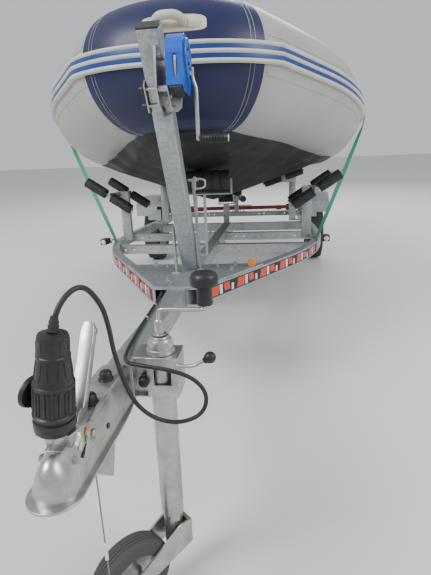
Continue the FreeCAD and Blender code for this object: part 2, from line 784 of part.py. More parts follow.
def make_floor(tube_space):
    points = []
    for station, half_width in FLOOR_OUTLINE:
        points.append((half_width, float(y_of(station))))
    points.append((points[-1][0], float(y_of(S.transom_station))))
    level = float(floor_level)
    outline = [(x, y, level) for x, y in points] + [(-x, y, level) for x, y in reversed(points)]
    board = Part.Face(outline_wire(outline)).extrude(Vector(0, 0, float(S.floor_thickness)))
    for tool in tube_space:
        board = board.cut(tool)
    sub_part("floor_board", formed("floor_board", biggest(board)))


def make_transom(tube_space):
    x = S.hull_half_width
    outline = ((0, keel_level), (x, chine_level), (x, transom_top), (-x, transom_top), (-x, chine_level))
    y = y_of(S.transom_station + S.transom_thickness / 2)
    plate = prism("transom_plate", "XZ_Plane", outline, S.transom_thickness, (0, y, 0))
    document.recompute()
    shape = plate.Shape
    for tool in tube_space:
        shape = shape.cut(tool)
    sub_part("transom", formed("transom", biggest(shape)))


def make_thwart(tube_space):
    reach = float(S.tube_half_span) - 60
    front = float(y_of(S.thwart_station))
    plank = Part.makeBox(2 * reach, float(S.thwart_width), float(S.thwart_thickness),
                         Vector(-reach, front, float(thwart_level)))
    for tool in tube_space:
        plank = plank.cut(tool)
    sub_part("thwart", formed("thwart", biggest(plank)))


# Motor on the transom
motor_front = S.transom_station + S.transom_thickness
steer_station = motor_front + S.steer_offset
steer_y = y_of(steer_station)
tilt_y = y_of(motor_front + 35)
tilt_z = transom_top + 40
clamp_side = 60
cowl_front = steer_station - 120


def make_motor_clamp():
    pieces = []
    rear = y_of(motor_front)
    front = y_of(S.transom_station)
    for side in (-1, 1):
        low_x = clamp_side if side > 0 else -clamp_side - 12
        high_x = low_x + 12
        tag = "p" if side > 0 else "s"
        pieces.append(block("clamp_back_" + tag, (low_x, rear, transom_top - 190), (high_x, rear + 60, tilt_z + 20)))
        pieces.append(block("clamp_top_" + tag, (low_x, front - 45, transom_top), (high_x, rear + 4, transom_top + 18)))
        pieces.append(block("clamp_front_" + tag, (low_x, front - 45, transom_top - 75), (high_x, front - 30, transom_top + 2)))
        middle = low_x + 6
        screw_z = transom_top - 50
        pieces.append(rod("clamp_screw_" + tag, (middle, front - 78, screw_z), "y", 74, 8))
        pieces.append(rod("clamp_pad_" + tag, (middle, front - 6, screw_z), "y", 6, 24))
        pieces.append(rod("clamp_bar_" + tag, (middle, front - 72, screw_z - 34), "z", 68, 5))
    pieces.append(rod("tilt_tube", (-clamp_side - 22, tilt_y, tilt_z), "x", 2 * clamp_side + 44, 12))
    sub_part("motor_clamp", fused("motor_clamp", pieces))


swivel_low = transom_top - 180
swivel_high = transom_top + 68
pivot_radius = 20


def make_motor_swivel():
    y, z = float(tilt_y), float(tilt_z)
    axis_y, low, high = float(steer_y), float(swivel_low), float(swivel_high)
    arm = Part.makeBox(100, axis_y - y + 22, high - 4 - z + 60, Vector(-50, y - 22, z - 60))
    barrel = Part.makeCylinder(34, high - low, Vector(0, axis_y, low))
    web = Part.makeBox(18, axis_y - y + 14, z - 58 - low, Vector(-9, y - 14, low))
    gap = float(S.running_gap)
    tilt_bore = Part.makeCylinder(12 + gap, 120, Vector(-60, y, z), Vector(1, 0, 0))
    steer_bore = Part.makeCylinder(pivot_radius + gap, high - low + 10, Vector(0, axis_y, low - 5))
    swivel = arm.multiFuse([barrel, web]).removeSplitter().cut(tilt_bore).cut(steer_bore)
    sub_part("motor_swivel", formed("motor_swivel", swivel))


def oval(half_length, half_width, y, z, nose=0.0):
    """A streamlined plan section: two arcs meeting at the leading and trailing edge."""
    front, rear = Vector(0, y - half_length, z), Vector(0, y + half_length, z)
    left, right = Vector(-half_width, y - nose, z), Vector(half_width, y - nose, z)
    return Part.Wire([arc_by_middle(front, right, rear), arc_by_middle(rear, left, front)])


def make_motor_leg():
    y = float(steer_y)
    tray_top = float(S.cowl_bottom) + 45
    tray = tray_top - 25
    pivot = Part.makeCylinder(pivot_radius, tray - float(swivel_low) + 40, Vector(0, y, float(swivel_low) - 40))
    shelf = Part.Face(cowl_outline(0, tray, COWL_SECTIONS[0])).extrude(Vector(0, 0, 24.7))
    foot = Part.makeBox(70, 110, 38, Vector(-35, y - 20, float(swivel_low) - 40))
    middle = y + 95
    plate_z = float(S.prop_height) + 128
    upper = Part.makeLoft([oval(92, 42, middle - 8, plate_z - 4), oval(58, 46, middle, float(swivel_low) - 20),
                           oval(58, 60, middle, tray + 4)], True, True)
    lower = Part.makeLoft([oval(70, 20, y + 60, float(S.prop_height) - 20), oval(95, 34, middle - 14, plate_z)], True, True)
    plate = Part.makeBox(170, 250, 7, Vector(-85, y - 30, plate_z - 3.5))
    case = Part.makeCylinder(36, 150, Vector(0, y - 20, float(S.prop_height)), Vector(0, 1, 0))
    nose = Part.makeCone(8, 36, 60, Vector(0, y - 80, float(S.prop_height)), Vector(0, 1, 0))
    tail = Part.makeCone(36, 27, 56, Vector(0, y + 130, float(S.prop_height)), Vector(0, 1, 0))
    low = float(S.prop_height) - 126
    fin = Part.Face(outline_wire([(-5, y - 20, low + 100), (-5, y + 110, low + 100), (-5, y + 100, low), (-5, y + 40, low)]))
    skeg = fin.extrude(Vector(10, 0, 0))
    shaft = Part.makeCylinder(8, 250, Vector(0, y, float(S.prop_height)), Vector(0, 1, 0))
    leg = pivot.multiFuse([shelf, foot, upper, lower, plate, case, nose, tail, skeg, shaft])
    sub_part("motor_leg", formed("motor_leg", leg))
    return tray_top


def cowl_section(half_width, front, rear, z, corner):
    centre = Vector(0, (front + rear) / 2, z)
    return rounded_rectangle(centre, Vector(1, 0, 0), Vector(0, 1, 0), 2 * half_width, rear - front, corner)


# Cowl sections: height share, half width share, front inset, rear inset, corner radius
COWL_SECTIONS = (
    (0.0, 0.94, 8, 22, 80),
    (0.35, 1.0, 0, 0, 75),
    (0.8, 0.93, 22, 34, 80),
    (1.0, 0.66, 70, 95, 70),
)


def cowl_outline(inset, z, section):
    _, width, front_in, rear_in, corner = section
    front = float(y_of(cowl_front))
    half_width = float(S.cowl_width) / 2 * width - inset
    rear = front + float(S.cowl_length) - rear_in - inset
    return cowl_section(half_width, front + front_in + inset, rear, z, corner - inset)


def cowl_solid(inset, low, high):
    wires = [cowl_outline(inset, low + (high - low) * section[0], section) for section in COWL_SECTIONS]
    return Part.makeLoft(wires, True, True)


def make_motor_cowl(tray_top):
    wall = float(S.cowl_wall)
    top = float(S.cowl_top)
    shell = cowl_solid(0, tray_top, top).cut(cowl_solid(wall, tray_top - 1, top - wall))
    sub_part("motor_cowl", formed("motor_cowl", shell))
    width, length, height = 200, 250, 230
    y = float(steer_y) - 40
    block_shape = Part.makeBox(width, length, height, Vector(-width / 2, y, tray_top - 0.3))
    sub_part("engine_block", formed("engine_block", block_shape))
    front = float(y_of(cowl_front))
    root = Part.makeBox(44, 60, 40, Vector(-22, front - 34, tray_top + 44)).cut(cowl_solid(0, tray_top, top))
    bar = Part.makeCylinder(13, 170, Vector(0, front - 18, tray_top + 60))
    grip = Part.makeCylinder(18, 130, Vector(0, front - 18, tray_top + 228))
    sub_part("tiller", formed("tiller", root.multiFuse([bar, grip])))


def make_propeller():
    z = float(S.prop_height)
    start = float(steer_y) + 188
    hub = Part.makeCylinder(27, 62, Vector(0, start, z), Vector(0, 1, 0))
    blades = []
    radius = float(S.prop_radius)
    for k in range(3):
        blade = Part.makeCylinder(radius * 0.46, 7, Vector(0, -3.5, radius * 0.54), Vector(0, 1, 0))
        blade.rotate(Vector(), Vector(0, 0, 1), 32)
        blade.rotate(Vector(), Vector(0, 1, 0), 120 * k)
        blade.translate(Vector(0, start + 31, z))
        blades.append(blade)
    bore = Part.makeCylinder(8 + float(S.running_gap), 62 + 2, Vector(0, start - 1, z), Vector(0, 1, 0))
    sub_part("propeller", formed("propeller", hub.multiFuse(blades).cut(bore)))


# Winch post, its braces and the winch
def post_point(height, across=0, forward=0):
    """A point on the post's centre line at a height, moved across and ahead of it."""
    back = (height - S.frame_top) * sine(S.post_lean) / cosine(S.post_lean)
    return (measure(across), y_of(S.post_foot) - back - forward, measure(height))


def make_post():
    lean = float(S.post_lean)
    length = (float(S.post_top) - float(S.frame_top)) / math.cos(math.radians(lean)) + 120
    side = float(S.post_side)
    tube = square_tube(length, side, float(S.tube_wall))
    top = Vector(*[float(v) for v in post_point(S.post_top)])
    tube.Placement = Placement(top - post_way * length, Rotation(Vector(1, 0, 0), lean))
    below = Part.makeBox(400, 800, 400, Vector(-200, top.y - 100, float(deck_level) - 400))
    sub_part("winch_post", formed("winch_post", tube.cut(below)))
    cap = Part.makeBox(side, side, 6, Vector(-side / 2, -side / 2, 0))
    cap.Placement = Placement(top, Rotation(Vector(1, 0, 0), lean))
    sub_part("post_cap", formed("post_cap", cap))


# Braces: x, foot's station, head's station and height
BRACES = (
    (50, 1500, 1395, 880),
    (-50, 1440, 1415, 680),
)


def make_braces():
    bars = []
    for x, foot, head, height in BRACES:
        start = Vector(x, float(y_of(foot)), float(deck_level))
        end = Vector(x, float(y_of(head)), height)
        way = end - start
        bar = Part.makeBox(float(S.brace_sheet), float(S.brace_width), way.Length,
                           Vector(-float(S.brace_sheet) / 2, -float(S.brace_width) / 2, 0))
        pitch = 24.0
        for k in range(int((way.Length - 30) / pitch)):
            z = 20 + pitch * k
            bar = bar.cut(Part.makeCylinder(6, 40, Vector(-20, 0, z), Vector(1, 0, 0)))
        bar.Placement = Placement(start, Rotation(Vector(0, 0, 1), way))
        below = Part.makeBox(200, 200, 50, Vector(x - 100, start.y - 100, start.z - 50))
        near = float(S.post_side) / 2 + 0.5
        low_x = near if x > 0 else -near - 34
        foot_tab = Part.makeBox(34, 40, 6, Vector(low_x, start.y - 20, start.z))
        bars.append(bar.cut(below).fuse(foot_tab))
    sub_part("post_braces", formed("post_braces", Part.makeCompound(bars)))


winch_station = S.winch_station
winch_x = S.winch_x
pinion_radius = float(S.pinion_radius)
drum_distance = math.hypot(float(S.drum_ahead), float(S.drum_above))
gear_ratio = pinion_radius / (drum_distance - pinion_radius)
crank_level = S.winch_height - 39


def housing_face(x, inset):
    """Side outline of the winch housing: straight foot, round top."""
    y, z = float(y_of(winch_station)), float(crank_level)
    front, rear, low = y - 66 + inset, y + 72 - inset, z - 78 + inset
    shoulder, crown = z + 36, z + 104 - inset
    middle = (front + rear) / 2
    edges = [
        Part.LineSegment(Vector(x, rear - 12, low), Vector(x, front, low)).toShape(),
        Part.LineSegment(Vector(x, front, low), Vector(x, front, shoulder)).toShape(),
        arc_by_middle(Vector(x, front, shoulder), Vector(x, middle, crown), Vector(x, rear, shoulder)),
        Part.LineSegment(Vector(x, rear, shoulder), Vector(x, rear - 12, low)).toShape(),
    ]
    return Part.Face(Part.Wire(edges))


def make_winch():
    axle_z = crank_level
    plate_thickness = 8
    plate_x = half_bar + plate_thickness / 2
    y = y_of(winch_station)
    rear = y_of(winch_station + 155)
    outline = ((y - 40, axle_z - 96), (y + 10, axle_z - 118), (rear - 20, axle_z - 92), (rear + 10, axle_z + 66),
               (y - 40, axle_z + 78), (y - 66, axle_z - 40))
    plate = prism("winch_plate_sheet", "YZ_Plane", outline, plate_thickness, (plate_x, 0, 0))
    spacers = []
    for k, (dy, dz) in enumerate(((-46, -50), (46, -50))):
        spacers.append(rod(f"winch_spacer_{k}", (half_bar + plate_thickness - 1, y + dy, axle_z + dz), "x",
                           winch_x - half_bar - plate_thickness + 1, 10))
    sub_part("winch_plate", fused("winch_plate", [plate] + spacers))
    x, wall, span_out = float(winch_x), float(S.winch_sheet), float(S.winch_width) - 12
    shaft_y, shaft_z = float(y), float(axle_z)
    shell = housing_face(x, 0).extrude(Vector(span_out, 0, 0))
    shell = shell.cut(housing_face(x + wall, wall).extrude(Vector(span_out - 2 * wall, 0, 0)))
    window = Part.makeBox(span_out - 2 * wall, 60, 90, Vector(x + wall, shaft_y + 24, shaft_z - 70))
    slot = Part.makeBox(9, 40, 62, Vector(x + span_out / 2 - 4.5, shaft_y - 80, shaft_z - 18))
    shell = shell.cut(window).cut(slot)
    gear_case = Part.makeCylinder(46, 9, Vector(x + span_out, shaft_y + 4, shaft_z + 42), Vector(1, 0, 0))
    gear_case = gear_case.cut(Part.makeCylinder(30, 5, Vector(x + span_out + 5, shaft_y + 4, shaft_z + 42), Vector(1, 0, 0)))
    boss = Part.makeCylinder(17, 7, Vector(x + span_out, shaft_y, shaft_z), Vector(1, 0, 0))
    drum_y, drum_z = shaft_y + float(S.drum_ahead), shaft_z + float(S.drum_above)
    axle = Part.makeCylinder(6, span_out, Vector(x, drum_y, drum_z), Vector(1, 0, 0))
    shaft_bore = Part.makeCylinder(9, span_out + 40, Vector(x - 10, shaft_y, shaft_z), Vector(1, 0, 0))
    body = shell.multiFuse([gear_case, boss]).cut(shaft_bore).fuse(axle)
    sub_part("winch_frame", formed("winch_frame", body))
    drum_x = winch_x + S.winch_sheet + 1
    span = S.winch_width - 12 - 2 * S.winch_sheet - 2
    gear_radius = measure(drum_distance - pinion_radius) - S.seat_gap
    drum = [rod("drum_core", (drum_x, drum_y, drum_z), "x", span, 16)]
    drum.append(rod("drum_gear", (drum_x, drum_y, drum_z), "x", 8, gear_radius))
    drum.append(rod("drum_flange_a", (drum_x + 14, drum_y, drum_z), "x", 3, S.drum_radius))
    drum.append(rod("drum_flange_b", (drum_x + span - 3, drum_y, drum_z), "x", 3, S.drum_radius))
    solid = fused("drum_solid", drum)
    bore = rod("drum_bore", (drum_x - 1, drum_y, drum_z), "x", span + 2, measure(6) + S.running_gap)
    sub_part("winch_drum", without("winch_drum", solid, bore))
    shaft_end = winch_x + S.winch_width + 2
    shaft_radius = measure(9) - S.running_gap
    crank = [rod("crank_shaft", (winch_x - 3, y, axle_z), "x", shaft_end - winch_x + 9, shaft_radius)]
    crank.append(rod("crank_pinion", (drum_x, y, axle_z), "x", 8, S.pinion_radius))
    reach = S.crank_reach - 19
    joggle = 18
    near, far = shaft_end, shaft_end + 7
    arm = ((near, axle_z + 14), (far, axle_z + 14), (far, axle_z - 16), (far + joggle, axle_z - 38),
           (far + joggle, axle_z - reach - 12), (near + joggle, axle_z - reach - 12), (near + joggle, axle_z - 35),
           (near, axle_z - 13))
    crank.append(prism("crank_arm", "XZ_Plane", arm, 20, (0, y, 0)))
    crank.append(rod("crank_pin", (shaft_end + joggle, y, axle_z - reach), "x", 22, 7))
    crank.append(rod("crank_grip", (shaft_end + joggle + 12, y, axle_z - reach), "x", S.grip_length - 6, 13))
    sub_part("winch_crank", fused("winch_crank", crank))


# Rollers that the boat lies on
def keel_height_at(station):
    rows = hull_rows()
    for (a, _, _, low_a, _), (b, _, _, low_b, _) in zip(rows, rows[1:]):
        if a <= station <= b:
            return low_a + (low_b - low_a) * (station - a) / (b - a)
    return float(keel_level)


def roller(centre, way, length, radius):
    """A ribbed roller about an axis through its centre."""
    points = []
    count = 5
    for k in range(count):
        start = -length / 2 + length * k / count
        points += [(start + 1.5, radius - 3), (start + 3, radius), (start + length / count - 3, radius),
                   (start + length / count - 1.5, radius - 3)]
    outline = [Vector(-length / 2 + 1.5, 0, 0)] + [Vector(a, r, 0) for a, r in points]
    outline += [Vector(length / 2 - 1.5, 0, 0)]
    face = Part.Face(outline_wire([tuple(v) for v in outline]))
    solid = face.revolve(Vector(), Vector(1, 0, 0), 360)
    solid.Placement = Placement(Vector(*centre), Rotation(Vector(1, 0, 0), Vector(*way)))
    return solid


# The bow roller's upright rods: x
BOW_ROLLER_RODS = (-24, 24)

# Keel rollers: station, length, radius
KEEL_ROLLERS = (
    (1900, 330, 55),
    (3400, 120, 38),
    (4730, 120, 38),
)


def make_keel_rollers():
    rollers = []
    brackets = []
    for station, length, radius in KEEL_ROLLERS:
        y = float(y_of(station))
        z = keel_height_at(station) - radius - 0.3
        slope = (keel_height_at(station - 50) - keel_height_at(station + 50)) / 100
        z -= radius * (math.sqrt(1 + slope * slope) - 1)
        base = float(S.frame_top)
        if station > float(S.drawbar_rear):
            base = float(frame_bottom + S.cross_height)
        half = length / 2 + 2
        floor = z - radius - 16
        pieces = [Part.makeBox(2 * half + 12, 46, 6, Vector(-half - 6, y - 23, floor))]
        for x in (-half - 6, half):
            pieces.append(Part.makeBox(6, 46, radius + 26, Vector(x, y - 23, floor)))
        if length > 200:
            for x in BOW_ROLLER_RODS:
                pieces.append(Part.makeCylinder(8, floor + 2 - base, Vector(x, y, base)))
            pieces.append(Part.makeBox(64, 30, 8, Vector(-32, y - 15, base)))
            pieces.append(Part.makeBox(54, 6, 90, Vector(-27, y - 3, base + 80)))
        else:
            pieces.append(Part.makeBox(50, 40, floor + 2 - base, Vector(-25, y - 20, base)))
        pieces.append(Part.makeCylinder(8, 2 * half + 12, Vector(-half - 6, y, z), Vector(1, 0, 0)))
        brackets.append(pieces[0].multiFuse(pieces[1:]))
        bore_radius = 8 + float(S.running_gap)
        bore = Part.makeCylinder(bore_radius, length + 2, Vector(-length / 2 - 1, y, z), Vector(1, 0, 0))
        rollers.append(roller((0, y, z), (1, 0, 0), length, radius).cut(bore))
    sub_part("keel_rollers", formed("keel_rollers", Part.makeCompound(rollers)))
    sub_part("keel_roller_brackets", formed("keel_roller_brackets", Part.makeCompound(brackets)))


def bottom_at(station, x):
    """Height and slope across of the V bottom, away from the centre line."""
    rows = hull_rows()
    for (a, wide_a, chine_a, keel_a, _), (b, wide_b, chine_b, keel_b, _) in zip(rows, rows[1:]):
        if a <= station <= b:
            share = (station - a) / (b - a)
            wide = wide_a + (wide_b - wide_a) * share
            chine = chine_a + (chine_b - chine_a) * share
            keel = keel_a + (keel_b - keel_a) * share
            slope = (chine - keel) / wide
            return keel + slope * x, math.degrees(math.atan(slope))
    raise ValueError(station)


# Side roller banks: post's station and x, rocker's x and height, slope, roller rows' offsets.
# The front bank hangs free at its own height; the rear one has none, because it bears on the V bottom.
BANKS = (
    (2500, 620, 660, 782, 33.0, (-200, 220)),
    (3540, 590, 500, None, None, (-190, 230)),
)


def make_banks():
    posts, rockers, banks = [], [], []
    for station, x, hub_x, hub_z, slope, rows in BANKS:
        side_length = float(S.roller_length)
        radius = float(S.roller_radius)
        half_post = float(S.roller_post_side) / 2
        y = float(y_of(station))
        heights = [hub_z] * len(rows)
        if hub_z is None:
            slope = bottom_at(station, hub_x)[1]
            lift = (radius + float(S.seat_gap)) / math.cos(math.radians(slope))
            heights = [bottom_at(station + row, hub_x)[0] - lift for row in rows]
        middle_z = sum(heights) / len(heights)
        angle = math.radians(slope)
        along = Vector(math.cos(angle), 0, math.sin(angle))
        top = middle_z - 45
        post = Part.makeBox(2 * half_post, 40, top - float(S.frame_top), Vector(x - half_post, y - 20, float(S.frame_top)))
        pieces = []
        rollers = []
        beam_low = y + rows[0] - 12
        beam = Part.makeBox(24, rows[1] - rows[0] + 24, 30, Vector(hub_x - 12, beam_low, middle_z - 15))
        pieces.append(beam)
        for row, height in zip(rows, heights):
            middle = Vector(hub_x, y + row, height)
            pin = Part.makeCylinder(9, 2 * side_length + 60, middle - along * (side_length + 30), along)
            pieces.append(pin)
            for sign in (-1, 1):
                centre = middle + along * sign * (side_length / 2 + 18)
                solid = roller(tuple(centre), tuple(along), side_length, radius)
                bore = Part.makeCylinder(9.05, side_length + 4, centre - along * (side_length / 2 + 2), along)
                rollers.append(solid.cut(bore))
        low_x, high_x = min(x - half_post, hub_x - 16), max(x + half_post, hub_x + 16)
        head = Part.makeBox(high_x - low_x, 36, 63, Vector(low_x, y - 18, top))
        foot = Part.makeBox(float(S.rail_half_span) - 25 - x + half_post, 70, 8,
                            Vector(x - half_post, y - 35, float(S.frame_top)))
        post = post.multiFuse([head.cut(beam), foot])
        rocker = pieces[0].multiFuse(pieces[1:])
        posts += [post, mirrored(post)]
        rockers += [rocker, mirrored(rocker)]
        banks += rollers
    sub_part("roller_posts", formed("roller_posts", Part.makeCompound(posts)))
    sub_part("roller_rockers", formed("roller_rockers", Part.makeCompound(rockers)))
    port = Part.makeCompound(banks)
    sub_part("side_rollers_port", formed("side_rollers_port", port))
    sub_part("side_rollers_starboard", formed("side_rollers_starboard", mirrored(port)))


coupling_rear = S.coupling_rear
coupling_top = S.frame_top + 12
lip_level = S.ball_height - 34

# Coupling's pressed body: station, half width at the lip, half width at the top, height of the top
COUPLING_SECTIONS = (
    (S.ball_station, 41, 24, S.ball_height + 43),
    (S.ball_station + 52, 41, 27, S.ball_height + 45),
    (S.ball_station + 100, 41, 31, coupling_top - 6),
    (S.ball_station + 110, 42, 36, coupling_top),
    (S.coupling_rear, 42, 37, coupling_top),
)


def press_body(inset):
    """Loft of the pressed body, moved inwards by a wall."""
    wires = []
    for station, low_half, top_half, top in COUPLING_SECTIONS:
        y, top = float(y_of(station)), float(top) - inset
        low = float(lip_level) - (inset and 5)
        wide, narrow = low_half - inset, top_half - inset
        side = ((wide, low), (wide - 1, top - 34), (narrow + 3, top - 10), (narrow, top - 3), (narrow - 6, top))
        points = [(x, y, z) for x, z in side] + [(-x, y, z) for x, z in reversed(side)]
        wires.append(outline_wire(points))
    return Part.makeLoft(wires, True, True)


def coupling_lip():
    """Flat lip round the foot of the pressing, with a half round nose."""
    half, y = float(S.coupling_width) / 2, float(y_of(S.ball_station))
    rear, level = float(y_of(S.coupling_rear)), float(lip_level)
    line = Part.LineSegment
    corners = [Vector(half, y, level), Vector(half, rear - 90, level), Vector(half - 6, rear, level),
               Vector(6 - half, rear, level), Vector(-half, rear - 90, level), Vector(-half, y, level)]
    edges = [line(a, b).toShape() for a, b in zip(corners, corners[1:])]
    edges.append(arc_by_middle(corners[-1], Vector(0, y - half - 4, level), corners[0]))
    return Part.Face(Part.Wire(edges)).extrude(Vector(0, 0, float(S.coupling_sheet)))


# Coupling head over the drawbar's front end
def make_coupling():
    ball_y, ball_z = float(y_of(S.ball_station)), float(S.ball_height)
    socket = float(S.ball_radius) + 0.8
    low, wall = float(lip_level), float(S.coupling_sheet)
    top = float(coupling_top)
    rear = float(y_of(S.coupling_rear))
    front_bar = float(y_of(S.drawbar_front))
    bar = float(half_bar)
    dome = Part.makeSphere(socket + 17.2, Vector(0, ball_y, ball_z), Vector(0, 0, 1), 0, 90, 360)
    skirt = Part.makeCylinder(socket + 17.2, ball_z - low, Vector(0, ball_y, low))
    head = press_body(0).multiFuse([dome, skirt, coupling_lip()])
    pivot_y, pivot_z = float(y_of(S.lever_station)), top - 28
    hollow = press_body(wall).common(Part.makeBox(200, front_bar - ball_y - 46, 200, Vector(-100, ball_y + 46, low - 10)))
    over_bar = Part.makeBox(2 * bar, rear - front_bar + 10, top - wall - (low - 10), Vector(-bar, front_bar, low - 10))
    slot = Part.makeBox(36, 62, 60, Vector(-18, pivot_y - 30, pivot_z))
    recess = Part.makeBox(36, 28, 10, Vector(-18, ball_y, ball_z + 42))
    head = head.cut(over_bar).cut(hollow).cut(slot).cut(recess)
    head = head.cut(Part.makeSphere(socket, Vector(0, ball_y, ball_z)))
    head = head.cut(Part.makeCylinder(socket, 60, Vector(0, ball_y, ball_z - 60)))
    pin = 5
    head = head.cut(Part.makeCylinder(pin + float(S.running_gap), 120, Vector(-60, pivot_y, pivot_z), Vector(1, 0, 0)))
    plug_y, base = float(y_of(S.plug_station)), float(S.plug_base)
    rest = Part.makeBox(30, 22, base - ball_z - 40, Vector(float(S.plug_x) - 15, plug_y - 11, ball_z + 40)).cut(recess)
    bracket = outline_wire([(0, front_bar - 56, low + 1), (0, front_bar + 44, low + 1), (0, front_bar + 17, low - 72),
                            (0, front_bar + 11, low - 72), (0, front_bar - 56, low - 12)])
    eye = Part.makeCylinder(5, 20, Vector(-10, front_bar + 10, low - 46), Vector(1, 0, 0))
    tab = Part.Face(bracket).extrude(Vector(4, 0, 0)).cut(eye)
    tab.translate(Vector(bar + 3, 0, 0))
    sub_part("coupling_head", formed("coupling_head", head.multiFuse([rest, tab])))
    width, length, lean = float(S.lever_width), float(S.lever_length), float(S.lever_lean)
    half = width / 2
    sides = [Vector(half, 0, length - half), Vector(half, 0, -18), Vector(-half, 0, -18), Vector(-half, 0, length - half)]
    edges = [Part.LineSegment(a, b).toShape() for a, b in zip(sides, sides[1:])]
    edges.append(arc_by_middle(sides[-1], Vector(0, 0, length), sides[0]))
    lever = Part.Face(Part.Wire(edges)).extrude(Vector(0, 15, 0))
    inside = Part.makeBox(width - 6, 20, length + 10 - half, Vector(3 - half, 3, -20))
    inside = inside.fuse(Part.makeCylinder(half - 3, 20, Vector(0, 3, length - half), Vector(0, 1, 0)))
    hole = Part.makeCylinder(5, 30, Vector(0, -5, length - half), Vector(0, 1, 0))
    lever = lever.cut(inside).cut(hole)
    lever.Placement = Placement(Vector(0, pivot_y - 12, pivot_z + 22), Rotation(Vector(1, 0, 0), lean - 90))
    pieces = [Part.makeCylinder(pin, 88, Vector(-44, pivot_y, pivot_z), Vector(1, 0, 0))]
    for x in (-half, half - 3):
        pieces.append(Part.makeCylinder(26, 3, Vector(x, pivot_y, pivot_z), Vector(1, 0, 0)))
    below = Part.makeBox(100, 200, 100, Vector(-50, pivot_y - 100, float(S.frame_top) - 114))
    ears = pieces[1].fuse(pieces[2]).cut(below)
    sub_part("coupling_handle", formed("coupling_handle", lever.multiFuse([pieces[0], ears])))


# Plug parked on the coupling: height above its base, radius
PLUG_PROFILE = (
    (0, 26), (3, 30), (26, 33.5), (29, 31), (34, 31), (36, 34), (74, 34), (76, 35.5), (81, 35.5), (83, 33),
    (148, 25.5), (150, 27), (176, 25), (180, 22),
)


def make_plug():
    scale = float(S.plug_length) / PLUG_PROFILE[-1][0]
    wide = float(S.plug_radius) / 34
    base = Vector(float(S.plug_x), float(y_of(S.plug_station)), float(S.plug_base))
    points = [(0, 0, 0)] + [(r * wide, 0, z * scale) for z, r in PLUG_PROFILE] + [(0, 0, float(S.plug_length))]
    body = Part.Face(outline_wire(points)).revolve(Vector(), Vector(0, 0, 1), 360)
    radius = float(S.plug_radius)
    for k in range(12):
        angle = math.radians(30 * k)
        spot = Vector(math.cos(angle) * (radius + 1.5), math.sin(angle) * (radius + 1.5), 40 * scale)
        body = body.cut(Part.makeCylinder(4, 30 * scale, spot))
    flap = Part.makeCylinder(29, 6, Vector(-radius - 2, 12, 62 * scale), Vector(-1, 0.35, 0.12))
    flap = flap.cut(Part.makeCylinder(24, 3, Vector(-radius - 1, 12, 62 * scale), Vector(-1, 0.35, 0.12)))
    arm = Part.makeBox(14, 14, 40, Vector(-radius - 2, 4, 28 * scale))
    plug = body.multiFuse([flap, arm])
    plug.translate(base)
    sub_part("plug", formed("plug", plug))


# Cords. Each route is a list of points: x, station, height.
CABLE_ROUTE = (
    (14.6, 213.2, 666.4), (19, 222, 702), (47, 262, 733), (64, 297, 684), (64, 319, 631), (59, 339, 581), (60, 357, 530),
    (66, 372, 479), (80, 386, 428), (114, 402, 387), (164, 416, 370), (214, 428, 388), (224, 437, 432),
    (193, 442, 468), (136, 448, 483), (76, 456, 487), (28, 474, 486), (4, 552, 474.5), (-9, 648, 468.2),
    (-18, 762, 468), (-26, 882, 468.4), (-31, 990, 468.4), (-39, 1078, 469), (-49, 1136, 461), (-61, 1184, 446),
    (-78, 1222, 436), (-99, 1252, 430),
)
WIRE_ROUTE = (
    (41, 241, 383.6), (41, 242, 330), (40, 243.5, 276), (39, 246, 222), (38.6, 248, 168), (39, 247, 114),
    (39.6, 246, 60), (39, 245, 6), (37, 244, -48), (34, 242, -102), (32.4, 239.5, -150),
)


def cord_tube(name, route, diameter, limp):
    """A round tube along straight runs, with an arc as large as its runs allow at each point."""
    spots = [Vector(x, float(y_of(station)), z) for x, station, z in route]
    edges, last, radii, length = [], spots[0], [], 0
    for before, corner, after in zip(spots, spots[1:], spots[2:]):
        way_in, way_out = corner - before, after - corner
        shorter = min(way_in.Length, way_out.Length)
        half_turn = way_in.getAngle(way_out) / 2
        radius = 0.45 * shorter / math.tan(half_turn)
        radii.append(round(radius / diameter, 1))
        way_in.normalize()
        way_out.normalize()
        first, second = corner - way_in * 0.45 * shorter, corner + way_out * 0.45 * shorter
        bend = way_out - way_in
        bend.normalize()
        middle = corner + bend * (radius / math.cos(half_turn) - radius)
        edges += [Part.LineSegment(last, first).toShape(), arc_by_middle(first, middle, second)]
        length += (first - last).Length + 2 * radius * half_turn
        last = second
    edges.append(Part.LineSegment(last, spots[-1]).toShape())
    length += (spots[-1] - last).Length
    tube = swept(edges, ring(spots[0], spots[1] - spots[0], diameter / 2))
    whole = length * math.pi * diameter * diameter / 4
    print(name, "length", round(length), "volume share", round(tube.Volume / whole, 4), "radii in diameters", radii)
    if abs(tube.Volume / whole - 1) > 0.01 or min(radii) < limp:
        raise ValueError(f"{name} is bent too sharply or is not closed")
    sub_part(name, formed(name, tube))


def make_cords():
    cord_tube("plug_cable", CABLE_ROUTE, float(S.cable_diameter), 2.8)
    cord_tube("safety_wire", WIRE_ROUTE, float(S.wire_diameter), 5)
    before, last = [Vector(x, float(y_of(station)), z) for x, station, z in WIRE_ROUTE[-2:]]
    way = last - before
    way.normalize()
    ring_radius, bar = 11, 2.2
    hook = Part.makeTorus(ring_radius, bar, last + way * (ring_radius + bar + 0.2), way.cross(Vector(0, 1, 0)))
    sub_part("wire_ring", formed("wire_ring", hook))


